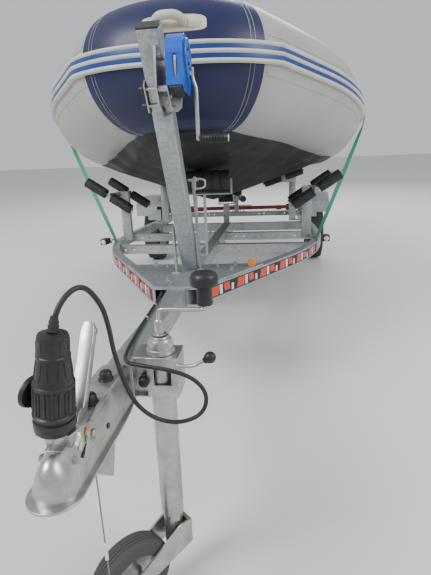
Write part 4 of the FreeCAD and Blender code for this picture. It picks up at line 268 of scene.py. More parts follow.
class Mould:
    """Points and faces of one piece, given on the level trailer and set down as it stands parked."""

    def __init__(self):
        self.points = []
        self.faces = []
        self.finishes = []

    def grid(self, rows, around=True, along=False, finish=0):
        """Skin over rows of points. around joins the ends of each row, along joins the last row to the first."""
        first = len(self.points)
        wide = len(rows[0])
        for row in rows:
            self.points += [Vector(point) for point in row]
        for i in range(len(rows) if along else len(rows) - 1):
            for j in range(wide if around else wide - 1):
                a, b = first + i * wide, first + (i + 1) % len(rows) * wide
                self.faces.append((a + j, a + (j + 1) % wide, b + (j + 1) % wide, b + j))
                self.finishes.append(finish)
        return first

    def cap(self, row, finish=0):
        """One face over a closed row of points."""
        first = len(self.points)
        self.points += [Vector(point) for point in row]
        self.faces.append(tuple(range(first, first + len(row))))
        self.finishes.append(finish)

    def closed(self, rows, finish=0):
        """Skin over rows, both ends capped."""
        self.grid(rows, finish=finish)
        self.cap(rows[0], finish)
        self.cap(rows[-1], finish)

    def turned(self, spot, axis, profile, sides=32, finish=0):
        """A solid of revolution: profile is (distance along the axis, radius) from end to end."""
        spot, axis = Vector(spot), Vector(axis).normalized()
        side = axis.orthogonal().normalized()
        rows = []
        for along, radius in profile:
            around = [Matrix.Rotation(tau * k / sides, 3, axis) @ side * max(radius, 1e-6) for k in range(sides)]
            rows.append([spot + axis * along + arm for arm in around])
        self.closed(rows, finish)

    def slab(self, outline, spot, u, v, depth, finish=0):
        """An outline in the plane of u and v, given a thickness along u x v."""
        spot, u, v = Vector(spot), Vector(u).normalized(), Vector(v).normalized()
        way = u.cross(v)
        rows = [[spot + u * a + v * b + way * d for a, b in outline] for d in (0, depth)]
        self.closed(rows, finish)

    def side_plate(self, outline, x, thick, finish=0):
        """A plate seen from the side, outline in (station, height), grown to port from x."""
        self.slab(outline, (x, 0, 0), Y, Z, thick, finish)

    def cross_plate(self, outline, y, thick, finish=0):
        """A plate across the trailer, outline in (x, height), grown forward from station y."""
        self.slab(outline, (0, y, 0), X, Z, thick, finish)

    def flat_plate(self, outline, z, thick, finish=0):
        """A level plate, outline in (x, station), grown upward from z."""
        self.slab(outline, (0, 0, z), X, Y, thick, finish)

    def ring(self, spot, axis, loop, sides=48, finish=0):
        """A hollow solid of revolution: loop is its closed cross-section, (distance along the axis, radius)."""
        spot, axis = Vector(spot), Vector(axis).normalized()
        side = axis.orthogonal().normalized()
        rows = []
        for along, radius in loop:
            rows.append([spot + axis * along + Matrix.Rotation(tau * k / sides, 3, axis) @ side * radius
                         for k in range(sides)])
        self.grid(rows, along=True, finish=finish)

    def pierced(self, outer, inner, spot, u, v, depth, finish=0):
        """A plate with one opening: outer and inner outlines have as many points as each other."""
        spot, u, v = Vector(spot), Vector(u).normalized(), Vector(v).normalized()
        way = u.cross(v) * depth
        rows = []
        for (a, b), (c, d) in zip(outer, inner):
            out, into = spot + u * a + v * b, spot + u * c + v * d
            rows.append([out, into, into + way, out + way])
        self.grid(rows, along=True, finish=finish)

    def block(self, low, high, finish=0):
        """A box between two corners."""
        (x, y, z), (p, q, r) = low, high
        self.slab(((x, y), (p, y), (p, q), (x, q)), (0, 0, z), X, Y, r - z, finish)

    def rod(self, line, radius, sides=12, finish=0):
        """A round bar along a line of points."""
        line = [Vector(point) for point in line]
        side = (line[1] - line[0]).orthogonal().normalized()
        rows = []
        for k, spot in enumerate(line):
            way = (line[min(k + 1, len(line) - 1)] - line[max(k - 1, 0)]).normalized()
            side = (side - way * side.dot(way)).normalized()
            other = way.cross(side)
            size = radius(k / (len(line) - 1)) if callable(radius) else radius
            rows.append([spot + (side * cos(tau * j / sides) + other * sin(tau * j / sides)) * size
                         for j in range(sides)])
        self.closed(rows, finish)

    def strip(self, line, across, wide, thick, finish=0):
        """A flat band along a line of points; across is its constant width direction."""
        line, across = [Vector(point) for point in line], Vector(across).normalized() * wide / 2
        rows = []
        for k, spot in enumerate(line):
            way = (line[min(k + 1, len(line) - 1)] - line[max(k - 1, 0)]).normalized()
            out = across.cross(way).normalized() * thick / 2
            rows.append([spot - across - out, spot + across - out, spot + across + out, spot - across + out])
        self.closed(rows, finish)

    def made(self, name, *finishes, body=ROOT, bevel=0.0, crease=38, slot=None, replaces=()):
        """The finished object: doubles merged, faces outward, edges rounded, riding on its body."""
        mesh = bpy.data.meshes.new(name)
        mesh.from_pydata([at(*point) for point in self.points], [], self.faces)
        for face, finish in zip(mesh.polygons, self.finishes):
            face.material_index = finish
        work = bmesh.new()
        work.from_mesh(mesh)
        bmesh.ops.remove_doubles(work, verts=work.verts, dist=MERGE_DISTANCE)
        bmesh.ops.recalc_face_normals(work, faces=work.faces)
        work.to_mesh(mesh)
        work.free()
        return put(name, mesh, finishes, crease, body, replaces, bevel)


def turns(start, stop, step):
    """Angles in radians, at steps given in degrees like a range."""
    return [radians(degree) for degree in range(start, stop, step)]


def rounded(points, radius, steps=5):
    """A line of points with its corners rounded."""
    points = [Vector(point) for point in points]
    line = [points[0]]
    for before, corner, after in zip(points, points[1:], points[2:]):
        back, on = (before - corner).normalized(), (after - corner).normalized()
        reach = min(radius, (before - corner).length * 0.45, (after - corner).length * 0.45)
        for k in range(steps + 1):
            t = k / steps
            line.append(corner + back * reach * (1 - t) ** 2 + on * reach * t ** 2)
    return line + [points[-1]]


def box_outline(low, high, count=1):
    """A rectangle's outline from two corners, each side cut into count equal runs."""
    (a, b), (c, d) = low, high
    corners = [(a, b), (c, b), (c, d), (a, d)]
    line = []
    for k, (x, y) in enumerate(corners):
        p, q = corners[(k + 1) % 4]
        line += [(x + (p - x) * j / count, y + (q - y) * j / count) for j in range(count)]
    return line


def round_outline(centre, radius, count):
    """A circle's outline, its first point beside the first corner of box_outline."""
    angles = [radians(-135.0) + tau * k / count for k in range(count)]
    return [(centre[0] + radius * cos(a), centre[1] + radius * sin(a)) for a in angles]


# Small parts that repeat, set out by Geometry Nodes
def small_part_tree(name, shapes, align):
    """A tree that sets a small part on every point of its input, its align axis turned to the point's direction.

    Each of shapes is (kind, sides, width as a share of Size, height and lift as shares of Height).
    """
    tree = bpy.data.node_groups.new(name, "GeometryNodeTree")
    tree.interface.new_socket("Points", in_out="INPUT", socket_type="NodeSocketGeometry")
    for label, value in (("Size", 0.01), ("Height", 0.005)):
        socket = tree.interface.new_socket(label, in_out="INPUT", socket_type="NodeSocketFloat")
        socket.default_value = value
    tree.interface.new_socket("Material", in_out="INPUT", socket_type="NodeSocketMaterial")
    tree.interface.new_socket("Parts", in_out="OUTPUT", socket_type="NodeSocketGeometry")
    given = add(tree, "NodeGroupInput")
    join = add(tree, "GeometryNodeJoinGeometry")
    for kind, sides, wide, high, lift in shapes:
        radius = add(tree, "ShaderNodeMath", {0: given.outputs["Size"], 1: wide}, operation="MULTIPLY")
        depth = add(tree, "ShaderNodeMath", {0: given.outputs["Height"], 1: high}, operation="MULTIPLY")
        if kind == "disc":
            shape = add(tree, "GeometryNodeMeshCylinder", {"Vertices": sides, "Radius": radius.outputs[0],
                                                           "Depth": depth.outputs[0]}).outputs["Mesh"]
        else:
            size = add(tree, "ShaderNodeCombineXYZ", {"X": radius.outputs[0], "Y": depth.outputs[0],
                                                      "Z": depth.outputs[0]})
            shape = add(tree, "GeometryNodeMeshCube", {"Size": size.outputs[0]}).outputs["Mesh"]
        rise = add(tree, "ShaderNodeMath", {0: given.outputs["Height"], 1: lift}, operation="MULTIPLY")
        offset = add(tree, "ShaderNodeCombineXYZ", {"Z": rise.outputs[0]})
        moved = add(tree, "GeometryNodeTransform", {"Geometry": shape, "Translation": offset.outputs[0]})
        tree.links.new(moved.outputs["Geometry"], join.inputs["Geometry"])
    way = add(tree, "GeometryNodeInputNamedAttribute", {"Name": "way"}, data_type="FLOAT_VECTOR")
    turn = add(tree, "FunctionNodeAlignRotationToVector", {"Vector": way.outputs["Attribute"]}, axis=align)
    placed = add(tree, "GeometryNodeInstanceOnPoints", {"Points": given.outputs["Points"],
                                                        "Instance": join.outputs["Geometry"],
                                                        "Rotation": turn.outputs["Rotation"]})
    real = add(tree, "GeometryNodeRealizeInstances", {"Geometry": placed.outputs["Instances"]})
    coated = add(tree, "GeometryNodeSetMaterial", {"Geometry": real.outputs["Geometry"],
                                                   "Material": given.outputs["Material"]})
    add(tree, "NodeGroupOutput", {"Parts": coated.outputs["Geometry"]})
    return tree


# Each small part's shapes: kind, sides, width as a share of Size, height and lift as shares of Height
SMALL_PARTS = {
    "hex_bolt": ("Z", (("disc", 6, 0.5, 1.0, 0.6), ("disc", 20, 0.68, 0.22, 0.08), ("disc", 12, 0.24, 1.5, 0.9))),
    "round_rivet": ("Z", (("disc", 20, 0.5, 0.5, 0.2), ("disc", 16, 0.42, 0.3, 0.55),
                          ("disc", 12, 0.26, 0.2, 0.78))),
    "stitch": ("X", (("bar", 4, 1.0, 1.0, 0.0),)),
    "tread_block": ("Z", (("disc", 4, 0.7, 1.0, 0.0),)),
}


def set_out(name, part, spots, size, height, finish="zinc_plated_steel", body=ROOT, crease=30):
    """Set a small part on each spot, a point and direction on the level trailer, as one plain mesh."""
    tree = bpy.data.node_groups.get(part)
    if tree is None:
        align, shapes = SMALL_PARTS[part]
        tree = small_part_tree(part, shapes, align)
    carrier = bpy.data.meshes.new(name + "_points")
    carrier.from_pydata([at(*point) for point, _ in spots], [], [])
    ways = carrier.attributes.new("way", "FLOAT_VECTOR", "POINT")
    for row, (_, way) in zip(ways.data, spots):
        row.vector = pitched(*Vector(way).normalized())
    holder = bpy.data.objects.new(name + "_points", carrier)
    bpy.context.scene.collection.objects.link(holder)
    nodes = holder.modifiers.new(part, "NODES")
    nodes.node_group = tree
    values = {"Size": size, "Height": height, "Material": bpy.data.materials[finish]}
    for socket in tree.interface.items_tree:
        if socket.in_out == "INPUT" and socket.name in values:
            nodes[socket.identifier] = values[socket.name]
    graph = bpy.context.evaluated_depsgraph_get()
    mesh = bpy.data.meshes.new_from_object(holder.evaluated_get(graph))
    bpy.data.objects.remove(holder)
    mesh.name = name
    if not mesh.polygons:
        raise RuntimeError(f"{name} came out empty")
    mesh.materials.clear()
    if "way" in mesh.attributes:
        mesh.attributes.remove(mesh.attributes["way"])
    return put(name, mesh, [finish], crease, body)


def softened(node, name, finish, width, body=ROOT):
    """A CAD part with its sharp edges rounded: merged, its flat faces joined, then bevelled."""
    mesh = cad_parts[node].data.copy()
    mesh.name = name
    work = bmesh.new()
    work.from_mesh(mesh)
    bmesh.ops.remove_doubles(work, verts=work.verts, dist=MERGE_DISTANCE)
    bmesh.ops.dissolve_limit(work, angle_limit=radians(0.6), verts=work.verts, edges=work.edges)
    work.to_mesh(mesh)
    work.free()
    mesh.materials.clear()
    for face in mesh.polygons:
        face.material_index = 0
    return put(name, mesh, [finish], 35, body, replaces=[node], bevel=width)


# Cords: route points as in the construction, millimetres on the level trailer
CABLE_ROUTE = (
    (14.6, 213.2, 666.4), (19, 222, 702), (47, 262, 733), (64, 297, 684), (64, 319, 631), (59, 339, 581),
    (60, 357, 530), (66, 372, 479), (80, 386, 428), (114, 402, 387), (164, 416, 370), (214, 428, 388),
    (224, 437, 432), (193, 442, 468), (136, 448, 483), (76, 456, 487), (28, 474, 486), (4, 552, 474.5),
    (-9, 648, 468.2), (-18, 762, 468), (-26, 882, 468.4), (-31, 990, 468.4), (-39, 1078, 469), (-49, 1136, 461),
    (-61, 1184, 446), (-78, 1222, 436), (-99, 1252, 430),
)
WIRE_ROUTE = (
    (41, 241, 383.6), (41, 242, 330), (40, 243.5, 276), (39, 246, 222), (38.6, 248, 168), (39, 247, 114),
    (39.6, 246, 60), (39, 245, 6), (37, 244, -48), (34, 242, -102), (32.4, 239.5, -150),
)


def cord_curve(name, route, diameter, finish):
    """A round cord on one smooth line with the route's points as its control points."""
    curve = bpy.data.curves.new(name, "CURVE")
    curve.dimensions = "3D"
    spline = curve.splines.new("NURBS")
    spline.points.add(len(route) - 1)
    for point, (x, station, z) in zip(spline.points, route):
        point.co = (*at(x / 1000, station / 1000, z / 1000), 1)
    spline.order_u = 3
    spline.use_endpoint_u = True
    spline.resolution_u = 12
    curve.bevel_depth = diameter / 2
    curve.bevel_resolution = 5
    curve.use_fill_caps = True
    curve.materials.append(bpy.data.materials[finish])
    cord = bpy.data.objects.new(name, curve)
    bpy.context.scene.collection.objects.link(cord)
    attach(cord, ROOT)
    return cord


class FACTORY_OT_cords(bpy.types.Operator):
    """Lay the trailer's cable from its plug to the rail, and hang the breakaway wire"""

    bl_idname = "factory.cords"
    bl_label = "Cable and breakaway wire"

    def execute(self, context):
        cable = cord_curve("trailer_cable", CABLE_ROUTE, 0.0095, "cable_pvc")
        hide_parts("plug_cable")
        wire = cord_curve("breakaway_wire", WIRE_ROUTE, 0.003, "wire_rope")
        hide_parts("safety_wire")
        return {"FINISHED"}


# The boat's tubes, all lengths in metres on the level trailer
TUBE_RADIUS = 0.24
BOW_STATION, BOW_HEIGHT = 1.48, 1.31483
SHEER = radians(6)
BOW_LEGS = ((0.04, 0), (0.266, 52), (0.26768, 0), (1.3, 38))
SHEER_BEND = (3.0, 6)
TRANSOM_REAR, TAIL_END, TAIL_RADIUS = 4.825, 5.15, 0.105
PANEL_SEAM = 0.214
STEP = 0.02


def tube_line():
    """The port tube's centre line from the bow's middle aft: length so far, spot, outward and upward directions."""
    spot, way = Vector((0, BOW_STATION, BOW_HEIGHT)), X
    up = Vector((0, sin(SHEER), cos(SHEER)))
    line, gone = [(0.0, spot, way.cross(up), up)], 0.0
    legs = [(*leg, up) for leg in BOW_LEGS] + [(*SHEER_BEND, X)]
    for amount, turn, axis in legs:
        length = amount * radians(turn) if turn else amount
        steps = ceil(length / STEP)
        for _ in range(steps):
            if turn:
                centre = spot + axis.cross(way) * amount
                bend = Matrix.Rotation(radians(turn) / steps, 3, axis)
                spot, way, up = centre + bend @ (spot - centre), bend @ way, bend @ up
            else:
                spot = spot + way * length / steps
            gone += length / steps
            line.append((gone, spot, way.cross(up), up))
    while spot.y < TRANSOM_REAR - 1e-6:
        stride = min(0.03, TRANSOM_REAR - spot.y)
        spot, gone = spot + way * stride, gone + stride
        line.append((gone, spot, way.cross(up), up))
    return line


TUBE_LINE = tube_line()
BOW_END = sum(a * radians(t) if t else a for a, t in BOW_LEGS)


def tube_place(along):
    """Spot, outward and upward directions at a length along the centre line; negative is starboard."""
    reach = min(abs(along), TUBE_LINE[-1][0])
    k = next((k for k, row in enumerate(TUBE_LINE) if row[0] >= reach), len(TUBE_LINE) - 1)
    after, before = TUBE_LINE[k], TUBE_LINE[max(k - 1, 0)]
    span = after[0] - before[0]
    share = (reach - before[0]) / span if span else 0.0
    spot, out, up = (before[i].lerp(after[i], share) for i in (1, 2, 3))
    if along < 0:
        spot, out, up = (Vector((-v.x, v.y, v.z)) for v in (spot, out, up))
    return spot, out.normalized(), up.normalized()


def ripple(along, angle):
    """How the blown-up cloth departs from a true round: slack folds inside the bends, faint swell elsewhere."""
    reach = abs(along)
    inner = max(0.0, -cos(angle)) ** 2
    tight = max(0.0, 1 - abs(reach - 0.16) / 0.22)
    folds = 0.0035 * inner * tight * sin(reach * 190 + 2 * sin(3 * angle))
    gentle = 0.0012 * inner * max(0.0, 1 - abs(reach - 1.1) / 0.5) * sin(reach * 120 + sin(5 * angle))
    swell = 0.0009 * sin(reach * 9.0 + 1.7) * sin(angle * 2 + reach * 3)
    return folds + gentle + swell - 0.0012


def skin(along, angle, lift=0.0):
    """A point on the tube's cloth: angle 0 is outward and 90 degrees is the crest."""
    spot, out, up = tube_place(along)
    return spot + (out * cos(angle) + up * sin(angle)) * (TUBE_RADIUS + ripple(along, angle) + lift)


def tube_rows(start, end, step, around, lift=0.0):
    """Rings of points on the tube's cloth between two lengths along it."""
    count = max(1, ceil((end - start) / step))
    stops = [start + (end - start) * k / count for k in range(count + 1)]
    return [[skin(s, tau * j / around, lift) for j in range(around)] for s in stops]


def band(mould, along, wide, thick, around=72, finish=0):
    """A seam tape all round the tube."""
    rows = []
    for offset, lift in ((-0.5, -0.003), (-0.5, 0.0), (-0.46, thick), (-0.2, thick), (0.2, thick), (0.46, thick),
                         (0.5, 0.0), (0.5, -0.003)):
        rows.append([skin(along + offset * wide, tau * j / around, lift) for j in range(around)])
    mould.grid(rows, along=True, finish=finish)


# Tail cone, moulded end cap: distance abaft the transom, radius
TAIL_PROFILE = ((0.004, 0.24), (0.03, 0.23), (0.16, 0.1755), (0.29, 0.12), (0.305, 0.116), (0.308, 0.112),
                (0.321, 0.108), (0.325, 0.095), (0.325, 0.05))


class FACTORY_OT_tubes(bpy.types.Operator):
    """Blow up the boat's tubes: grey cloth, navy bow panel and seam tapes"""

    bl_idname = "factory.tubes"
    bl_label = "Buoyancy tubes"

    def execute(self, context):
        sizes = context.scene.boat_sizes
        bow = Mould()
        bow.closed(tube_rows(-BOW_END, BOW_END, STEP, 96))
        bow.made("bow_tube", "grey_pvc_fabric", replaces=["tube_bow"])
        panel = Mould()
        rows = tube_rows(-PANEL_SEAM, PANEL_SEAM, 0.014, 96, 0.0016)
        rim = [[skin(s, tau * j / 96, -0.003) for j in range(96)] for s in (-PANEL_SEAM, PANEL_SEAM)]
        panel.grid([rim[0]] + rows + [rim[1]], along=True)
        panel.made("bow_panel", "navy_pvc_fabric")
        tapes = Mould()
        for side in (-1, 1):
            band(tapes, side * (PANEL_SEAM - 0.012), sizes.seam_tape * 0.9, 0.0028)
        tapes.made("panel_seam_tapes", "navy_pvc_fabric")
        for name, side in (("port", 1), ("starboard", -1)):
            end = TUBE_LINE[-1][0]
            rows = tube_rows(BOW_END, end, 0.03, 96) if side > 0 else \
                [list(row) for row in tube_rows(-end, -BOW_END, 0.03, 96)][::-1]
            spot, out, up = tube_place(side * end)
            for back, radius in TAIL_PROFILE:
                rows.append([spot + Vector((0, back, 0)) + (out * cos(tau * j / 96) + up * sin(tau * j / 96))
                             * radius for j in range(96)])
            tube = Mould()
            tube.closed(rows)
            tube.made(name + "_tube", "grey_pvc_fabric", replaces=["tube_" + name])
            seams = Mould()
            for along in (BOW_END, 2.62, end - 0.03):
                band(seams, side * along, sizes.seam_tape, 0.0012)
            for middle in (radians(-17), radians(17)):
                stops = [PANEL_SEAM + 0.012 + (end - PANEL_SEAM - 0.1) * k / 170 for k in range(171)]
                seams.closed([[skin(side * s, middle + turn, lift) for turn, lift in
                               ((0.05, -0.003), (0.048, 0.0012), (0.016, 0.0013), (-0.016, 0.0013),
                                (-0.048, 0.0012), (-0.05, -0.003))]
                              for s in stops])
            seams.made(name + "_seam_tapes", "grey_pvc_fabric")
        return {"FINISHED"}


class FACTORY_OT_strake(bpy.types.Operator):
    """Run the ivory rubbing strake with its three ribs and two blue stripes round the boat"""

    bl_idname = "factory.strake"
    bl_label = "Rubbing strake"

    def execute(self, context):
        half = asin(0.037 / TUBE_RADIUS)
        web, crest, foot = 0.0112, 0.0185, -0.004
        section = [(half, foot), (half, web * 0.8), (half - 0.004, web)]
        for place in (0.78, 0.0, -0.78):
            middle = place * half
            section += [(middle + 0.2 * half, web), (middle + 0.15 * half, web + 0.004),
                        (middle + 0.1 * half, crest - 0.0015), (middle + 0.05 * half, crest),
                        (middle - 0.05 * half, crest), (middle - 0.1 * half, crest - 0.0015),
                        (middle - 0.15 * half, web + 0.004), (middle - 0.2 * half, web)]
        section += [(0.004 - half, web), (-half, web * 0.8), (-half, foot)]
        end = TUBE_LINE[-1][0] - 0.04
        stops = [k * STEP for k in range(int(end / STEP) + 1)] + [end]
        stops = [-s for s in reversed(stops[1:])] + stops

        def point(along, angle, lift):
            spot, out, up = tube_place(along)
            angle -= radians(7) * max(0.0, 1 - (along / 0.26) ** 2)
            return spot + (out * cos(angle) + up * sin(angle)) * (TUBE_RADIUS + lift)

        strake = Mould()
        strake.closed([[point(s, angle, lift) for angle, lift in section] for s in stops])
        strake.made("rubbing_strip", "ivory_strake", replaces=["rubbing_strake"])
        stripes = Mould()
        wide = context.scene.boat_sizes.stripe / TUBE_RADIUS / 2
        for middle in (0.39 * half, -0.39 * half):
            ring = ((middle + wide, web - 0.001), (middle + wide, web + 0.0005), (middle, web + 0.0009),
                    (middle - wide, web + 0.0005), (middle - wide, web - 0.001))
            stripes.closed([[point(s, angle, lift) for angle, lift in ring] for s in stops[1:-1]])
        stripes.made("strake_stripes", "blue_stripe_vinyl", slot="ivory_rubber")
        return {"FINISHED"}


# Bottom cloth: station, half width, chine, keel (metres)
HULL_ROWS = (
    (1.47, 0.11, 1.07, 1.07), (1.52, 0.165, 1.052, 1.032), (1.7, 0.29, 1.02, 0.985),
    (2.17, 0.56, 0.95, 0.83), (2.45, 0.62, 0.925, 0.73), (4.79, 0.63, 0.915, 0.715),
)


def hull_row(station):
    """Half width, chine and keel height of the bottom at a station."""
    for before, after in zip(HULL_ROWS, HULL_ROWS[1:]):
        if station <= after[0]:
            share = max(0.0, (station - before[0]) / (after[0] - before[0]))
            return [a + (b - a) * share for a, b in zip(before[1:], after[1:])]
    return list(HULL_ROWS[-1][1:])


# Where the bottom cloth's edge is glued round the tube: length from the bow's middle, degrees below outward
EDGE_ANGLES = ((0.0, -92), (0.214, -92), (0.37, -99), (0.75, -117), (0.95, -110), (1.14, -94), (1.37, -71),
               (9.0, -71))
CLOTH_COUNT = 34


def edge_angle(along):
    """Angle round the tube at which the bottom cloth's edge is glued."""
    for (a, low), (b, high) in zip(EDGE_ANGLES, EDGE_ANGLES[1:]):
        if along <= b:
            share = (along - a) / (b - a)
            return radians(low + (high - low) * share * share * (3 - 2 * share))
    return radians(EDGE_ANGLES[-1][1])


def off_tube(point, clear):
    """Push a point out of the nearer tube, so that the cloth lies on it."""
    x = abs(point.x)
    best = min(TUBE_LINE, key=lambda row: (row[1] - Vector((x, point.y, point.z))).length_squared)
    away = Vector((x, point.y, point.z)) - best[1]
    across = away - best[2].cross(best[3]) * away.dot(best[2].cross(best[3]))
    if across.length < TUBE_RADIUS + clear:
        moved = best[1] + (away - across) + across.normalized() * (TUBE_RADIUS + clear)
        return Vector((copysign(moved.x, point.x), moved.y, moved.z))
    return point


class FACTORY_OT_bottom(bpy.types.Operator):
    """Stretch the dark bottom cloth from the bow to the transom, slack where it leaves the rollers"""

    bl_idname = "factory.bottom"
    bl_label = "Bottom cloth"

    def execute(self, context):
        last = TUBE_LINE[-1][0]
        stops = [0.0005 + 0.0125 * k for k in range(16)]
        while stops[-1] < last - 0.03 and skin(stops[-1], 0).y < 4.76:
            stops.append(stops[-1] + (0.02 if stops[-1] < 1.6 else 0.03))
        outer, inner = [], []
        for along in stops:
            edge = skin(along, edge_angle(along), 0.0018)
            station = edge.y
            wide, chine, keel = hull_row(max(station, 1.47))
            wide = min(wide, edge.x * 0.86)
            chine = min(chine, edge.z - 0.004)
            keel = min(keel, edge.z - 0.012 * min(1.0, along / 0.1))
            half = []
            for j in range(CLOTH_COUNT + 1):
                x = edge.x * (1 - j / CLOTH_COUNT)
                if x > wide:
                    z = chine + (edge.z - chine) * (x - wide) / max(edge.x - wide, 1e-6)
                else:
                    z = keel + (chine - keel) * (x / max(wide, 1e-6)) ** 1.1
                half.append(Vector((x, station, z)))
            row = half + [Vector((-p.x, p.y, p.z)) for p in reversed(half[:-1])]
            shaped, under = [], []
            for j, point in enumerate(row):
                rim = min(1.0, min(j, len(row) - 1 - j) / 5)
                middle = 1 - min(1.0, abs(point.x) / max(edge.x, 1e-6))
                fade = rim * min(1.0, along / 0.12) * (0.25 + 0.75 * max(0.0, 1 - abs(station - 1.85) / 0.7))
                slack = noise(Vector((point.x * 9, station * 5.0, 3.1))) * 0.6 \
                    + noise(Vector((point.x * 21, station * 12, 7.7))) * 0.3
                crease = sin((point.x * 0.8 + station) * 42 + 3 * noise(Vector((point.x * 6, station * 4, 0))))
                point = point + Vector((0, 0, fade * (0.011 * slack + 0.0026 * crease) * (1 - 0.7 * middle ** 3)))
                if abs(point.x) < 0.2 and abs(station - 1.9) < 0.07:
                    point.z = max(point.z, keel)
                inside = j in (0, len(row) - 1)
                shaped.append(off_tube(point, -0.003 if inside else 0.0034))
                under.append(off_tube(point + Vector((0, 0, 0.0025)), -0.004 if inside else 0.001))
            outer.append(shaped)
            inner.append(under)
        cloth = Mould()
        rows = [row + under[::-1] for row, under in zip(outer, inner)]
        cloth.closed(rows)
        cloth.made("bottom_cloth", "bottom_pvc_fabric", replaces=["hull_bottom"], crease=60)
        return {"FINISHED"}


class FACTORY_OT_bow_handle(bpy.types.Operator):
    """Glue the moulded lifting handle on the bow"""

    bl_idname = "factory.bow_handle"
    bl_label = "Bow handle"

    def execute(self, context):
        middle, half_long, half_wide, aside = radians(18), 0.082, 0.034, 0.016
        handle = Mould()

        def on_patch(r, turn, lift):
            c, s = cos(turn), sin(turn)
            power = 0.45
            x = copysign(abs(c) ** power, c) * half_long * r
            across = copysign(abs(s) ** power, s) * half_wide * r
            spot, out, up = tube_place(x + aside)
            angle = middle + across / TUBE_RADIUS
            return spot + (out * cos(angle) + up * sin(angle)) * (TUBE_RADIUS + lift)

        rings = ((1.0, -0.003), (1.0, 0.0015), (0.985, 0.003), (0.95, 0.0036), (0.9, 0.0052), (0.86, 0.0036),
                 (0.6, 0.0034), (0.3, 0.0034))
        handle.closed([[on_patch(r, tau * k / 72, lift) for k in range(72)] for r, lift in rings])
        spot, out, up = tube_place(aside)
        normal = out * cos(middle) + up * sin(middle)
        line = []
        for k in range(41):
            t = k / 40 * 2 - 1
            x = 0.058 * t
            rise = 0.047 * (1 - abs(t) ** 3.4)
            ground = (skin(x + aside, middle) - spot).dot(normal)
            line.append(spot + Vector((x, 0, 0)) + normal * (ground - 0.006 + rise))
        handle.rod(line, lambda t: 0.015 * (1 + 0.32 * abs(2 * t - 1) ** 6), 24)
        for side in (-1, 1):
            base = skin(aside + side * 0.056, middle, 0.0)
            handle.turned(base - normal * 0.004, normal,
                          ((0, 0.028), (0.006, 0.028), (0.009, 0.0255), (0.011, 0.0262),
                           (0.014, 0.024), (0.019, 0.0185), (0.024, 0.014), (0.026, 0.008)), 32)
        handle.made("bow_lifting_handle", "beige_moulded_pvc", replaces=["bow_handle"])
        return {"FINISHED"}


class FACTORY_OT_tie_strap(bpy.types.Operator):
    """Pull the green webbing over the tubes, its straight runs twisted"""

    bl_idname = "factory.tie_strap"
    bl_label = "Tie-down strap"

    def execute(self, context):
        station, wide, thick = 2.4125, context.scene.boat_sizes.webbing, 0.0024
        half_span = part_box("tie_strap")[1][0]
        foot = Vector((0.6811, station, 0.4635))
        centre = Vector((0.6765, station, 1.218))
        side = half_span - 0.0013
        reach = 0.2455
        line = [foot, Vector((side, station, centre.z - 0.055)), Vector((side, station, centre.z + 0.055))]
        top = [centre + Vector((cos(a), 0, sin(a))) * (reach + 0.001)
               for a in [radians(30 + 60 * k / 10) for k in range(11)]]
        port = rounded(line + top[:1], 0.03) + top[1:]
        both = port + [Vector((-p.x, p.y, p.z)) for p in reversed(port)]
        fine = [both[0]]
        for before, after in zip(both, both[1:]):
            cuts = max(1, round((after - before).length / 0.03))
            fine += [before.lerp(after, k / cuts) for k in range(1, cuts + 1)]
        strap, rows, high = Mould(), [], centre.z - 0.075
        for k, spot in enumerate(fine):
            way = (fine[min(k + 1, len(fine) - 1)] - fine[max(k - 1, 0)]).normalized()
            share = min(1.0, max(0.0, (spot.z - foot.z) / (high - foot.z)))
            turn = radians(70) * sin(pi * share) ** 0.6 if share < 1 else 0.0
            across = Matrix.Rotation(turn, 3, way) @ Y
            across = (across - way * across.dot(way)).normalized()
            out = across.cross(way) * thick / 2
            across = across * wide / 2
            rows.append([spot - across - out, spot + across - out, spot + across + out, spot - across + out])
        strap.closed(rows)
        strap.made("tie_down_webbing", "green_webbing", replaces=["tie_strap"], crease=50)
        return {"FINISHED"}


# Winch: crank shaft's station and height, the housing's sides
WINCH_STATION, WINCH_LEVEL = 0.965, 1.186
HOUSING_X = (0.072, 0.121)
CLAMP_HEIGHTS = (1.191, 1.144)
POST_LEAN = radians(30.5)
# The bracket's outlines: sheet and lug by station and height from the shaft, the flange by x and height from it
BRACKET_SHEET = (
    (-0.036, -0.09), (0.006, -0.112), (0.03, -0.114), (0.13, -0.09), (0.156, -0.07), (0.162, 0.05),
    (0.15, 0.064), (-0.034, 0.076), (-0.048, 0.066), (-0.064, -0.034), (-0.062, -0.05),
)
BRACKET_LUG = ((-0.058, -0.052), (-0.02, -0.096), (0.014, -0.108), (0.03, -0.1), (0.034, -0.04), (-0.05, -0.03))
BRACKET_FLANGE = (
    (0.04, -0.034), (0.096, -0.034), (0.104, -0.052), (0.1, -0.092), (0.086, -0.104), (0.052, -0.098),
    (0.04, -0.08),
)
# Its bolts: x, station and height from the shaft, the way the head faces
BRACKET_BOLTS = (
    (0.074, -0.03, -0.064, X), (0.074, 0.006, -0.092, X), (0.074, 0.018, -0.052, X), (0.0425, 0.14, -0.06, X),
    (0.0425, 0.146, 0.04, X), (0.056, 0.006, -0.076, -Y), (0.076, 0.006, -0.06, -Y), (0.088, 0.006, -0.088, -Y),
)


def on_post(x, z, ahead):
    """A point at a height on the post's centre line, moved across and ahead of it."""
    spot = Vector((x, 1.54 - (z - 0.462) * tan(POST_LEAN), z))
    return spot + Vector((0, -cos(POST_LEAN), -sin(POST_LEAN))) * ahead


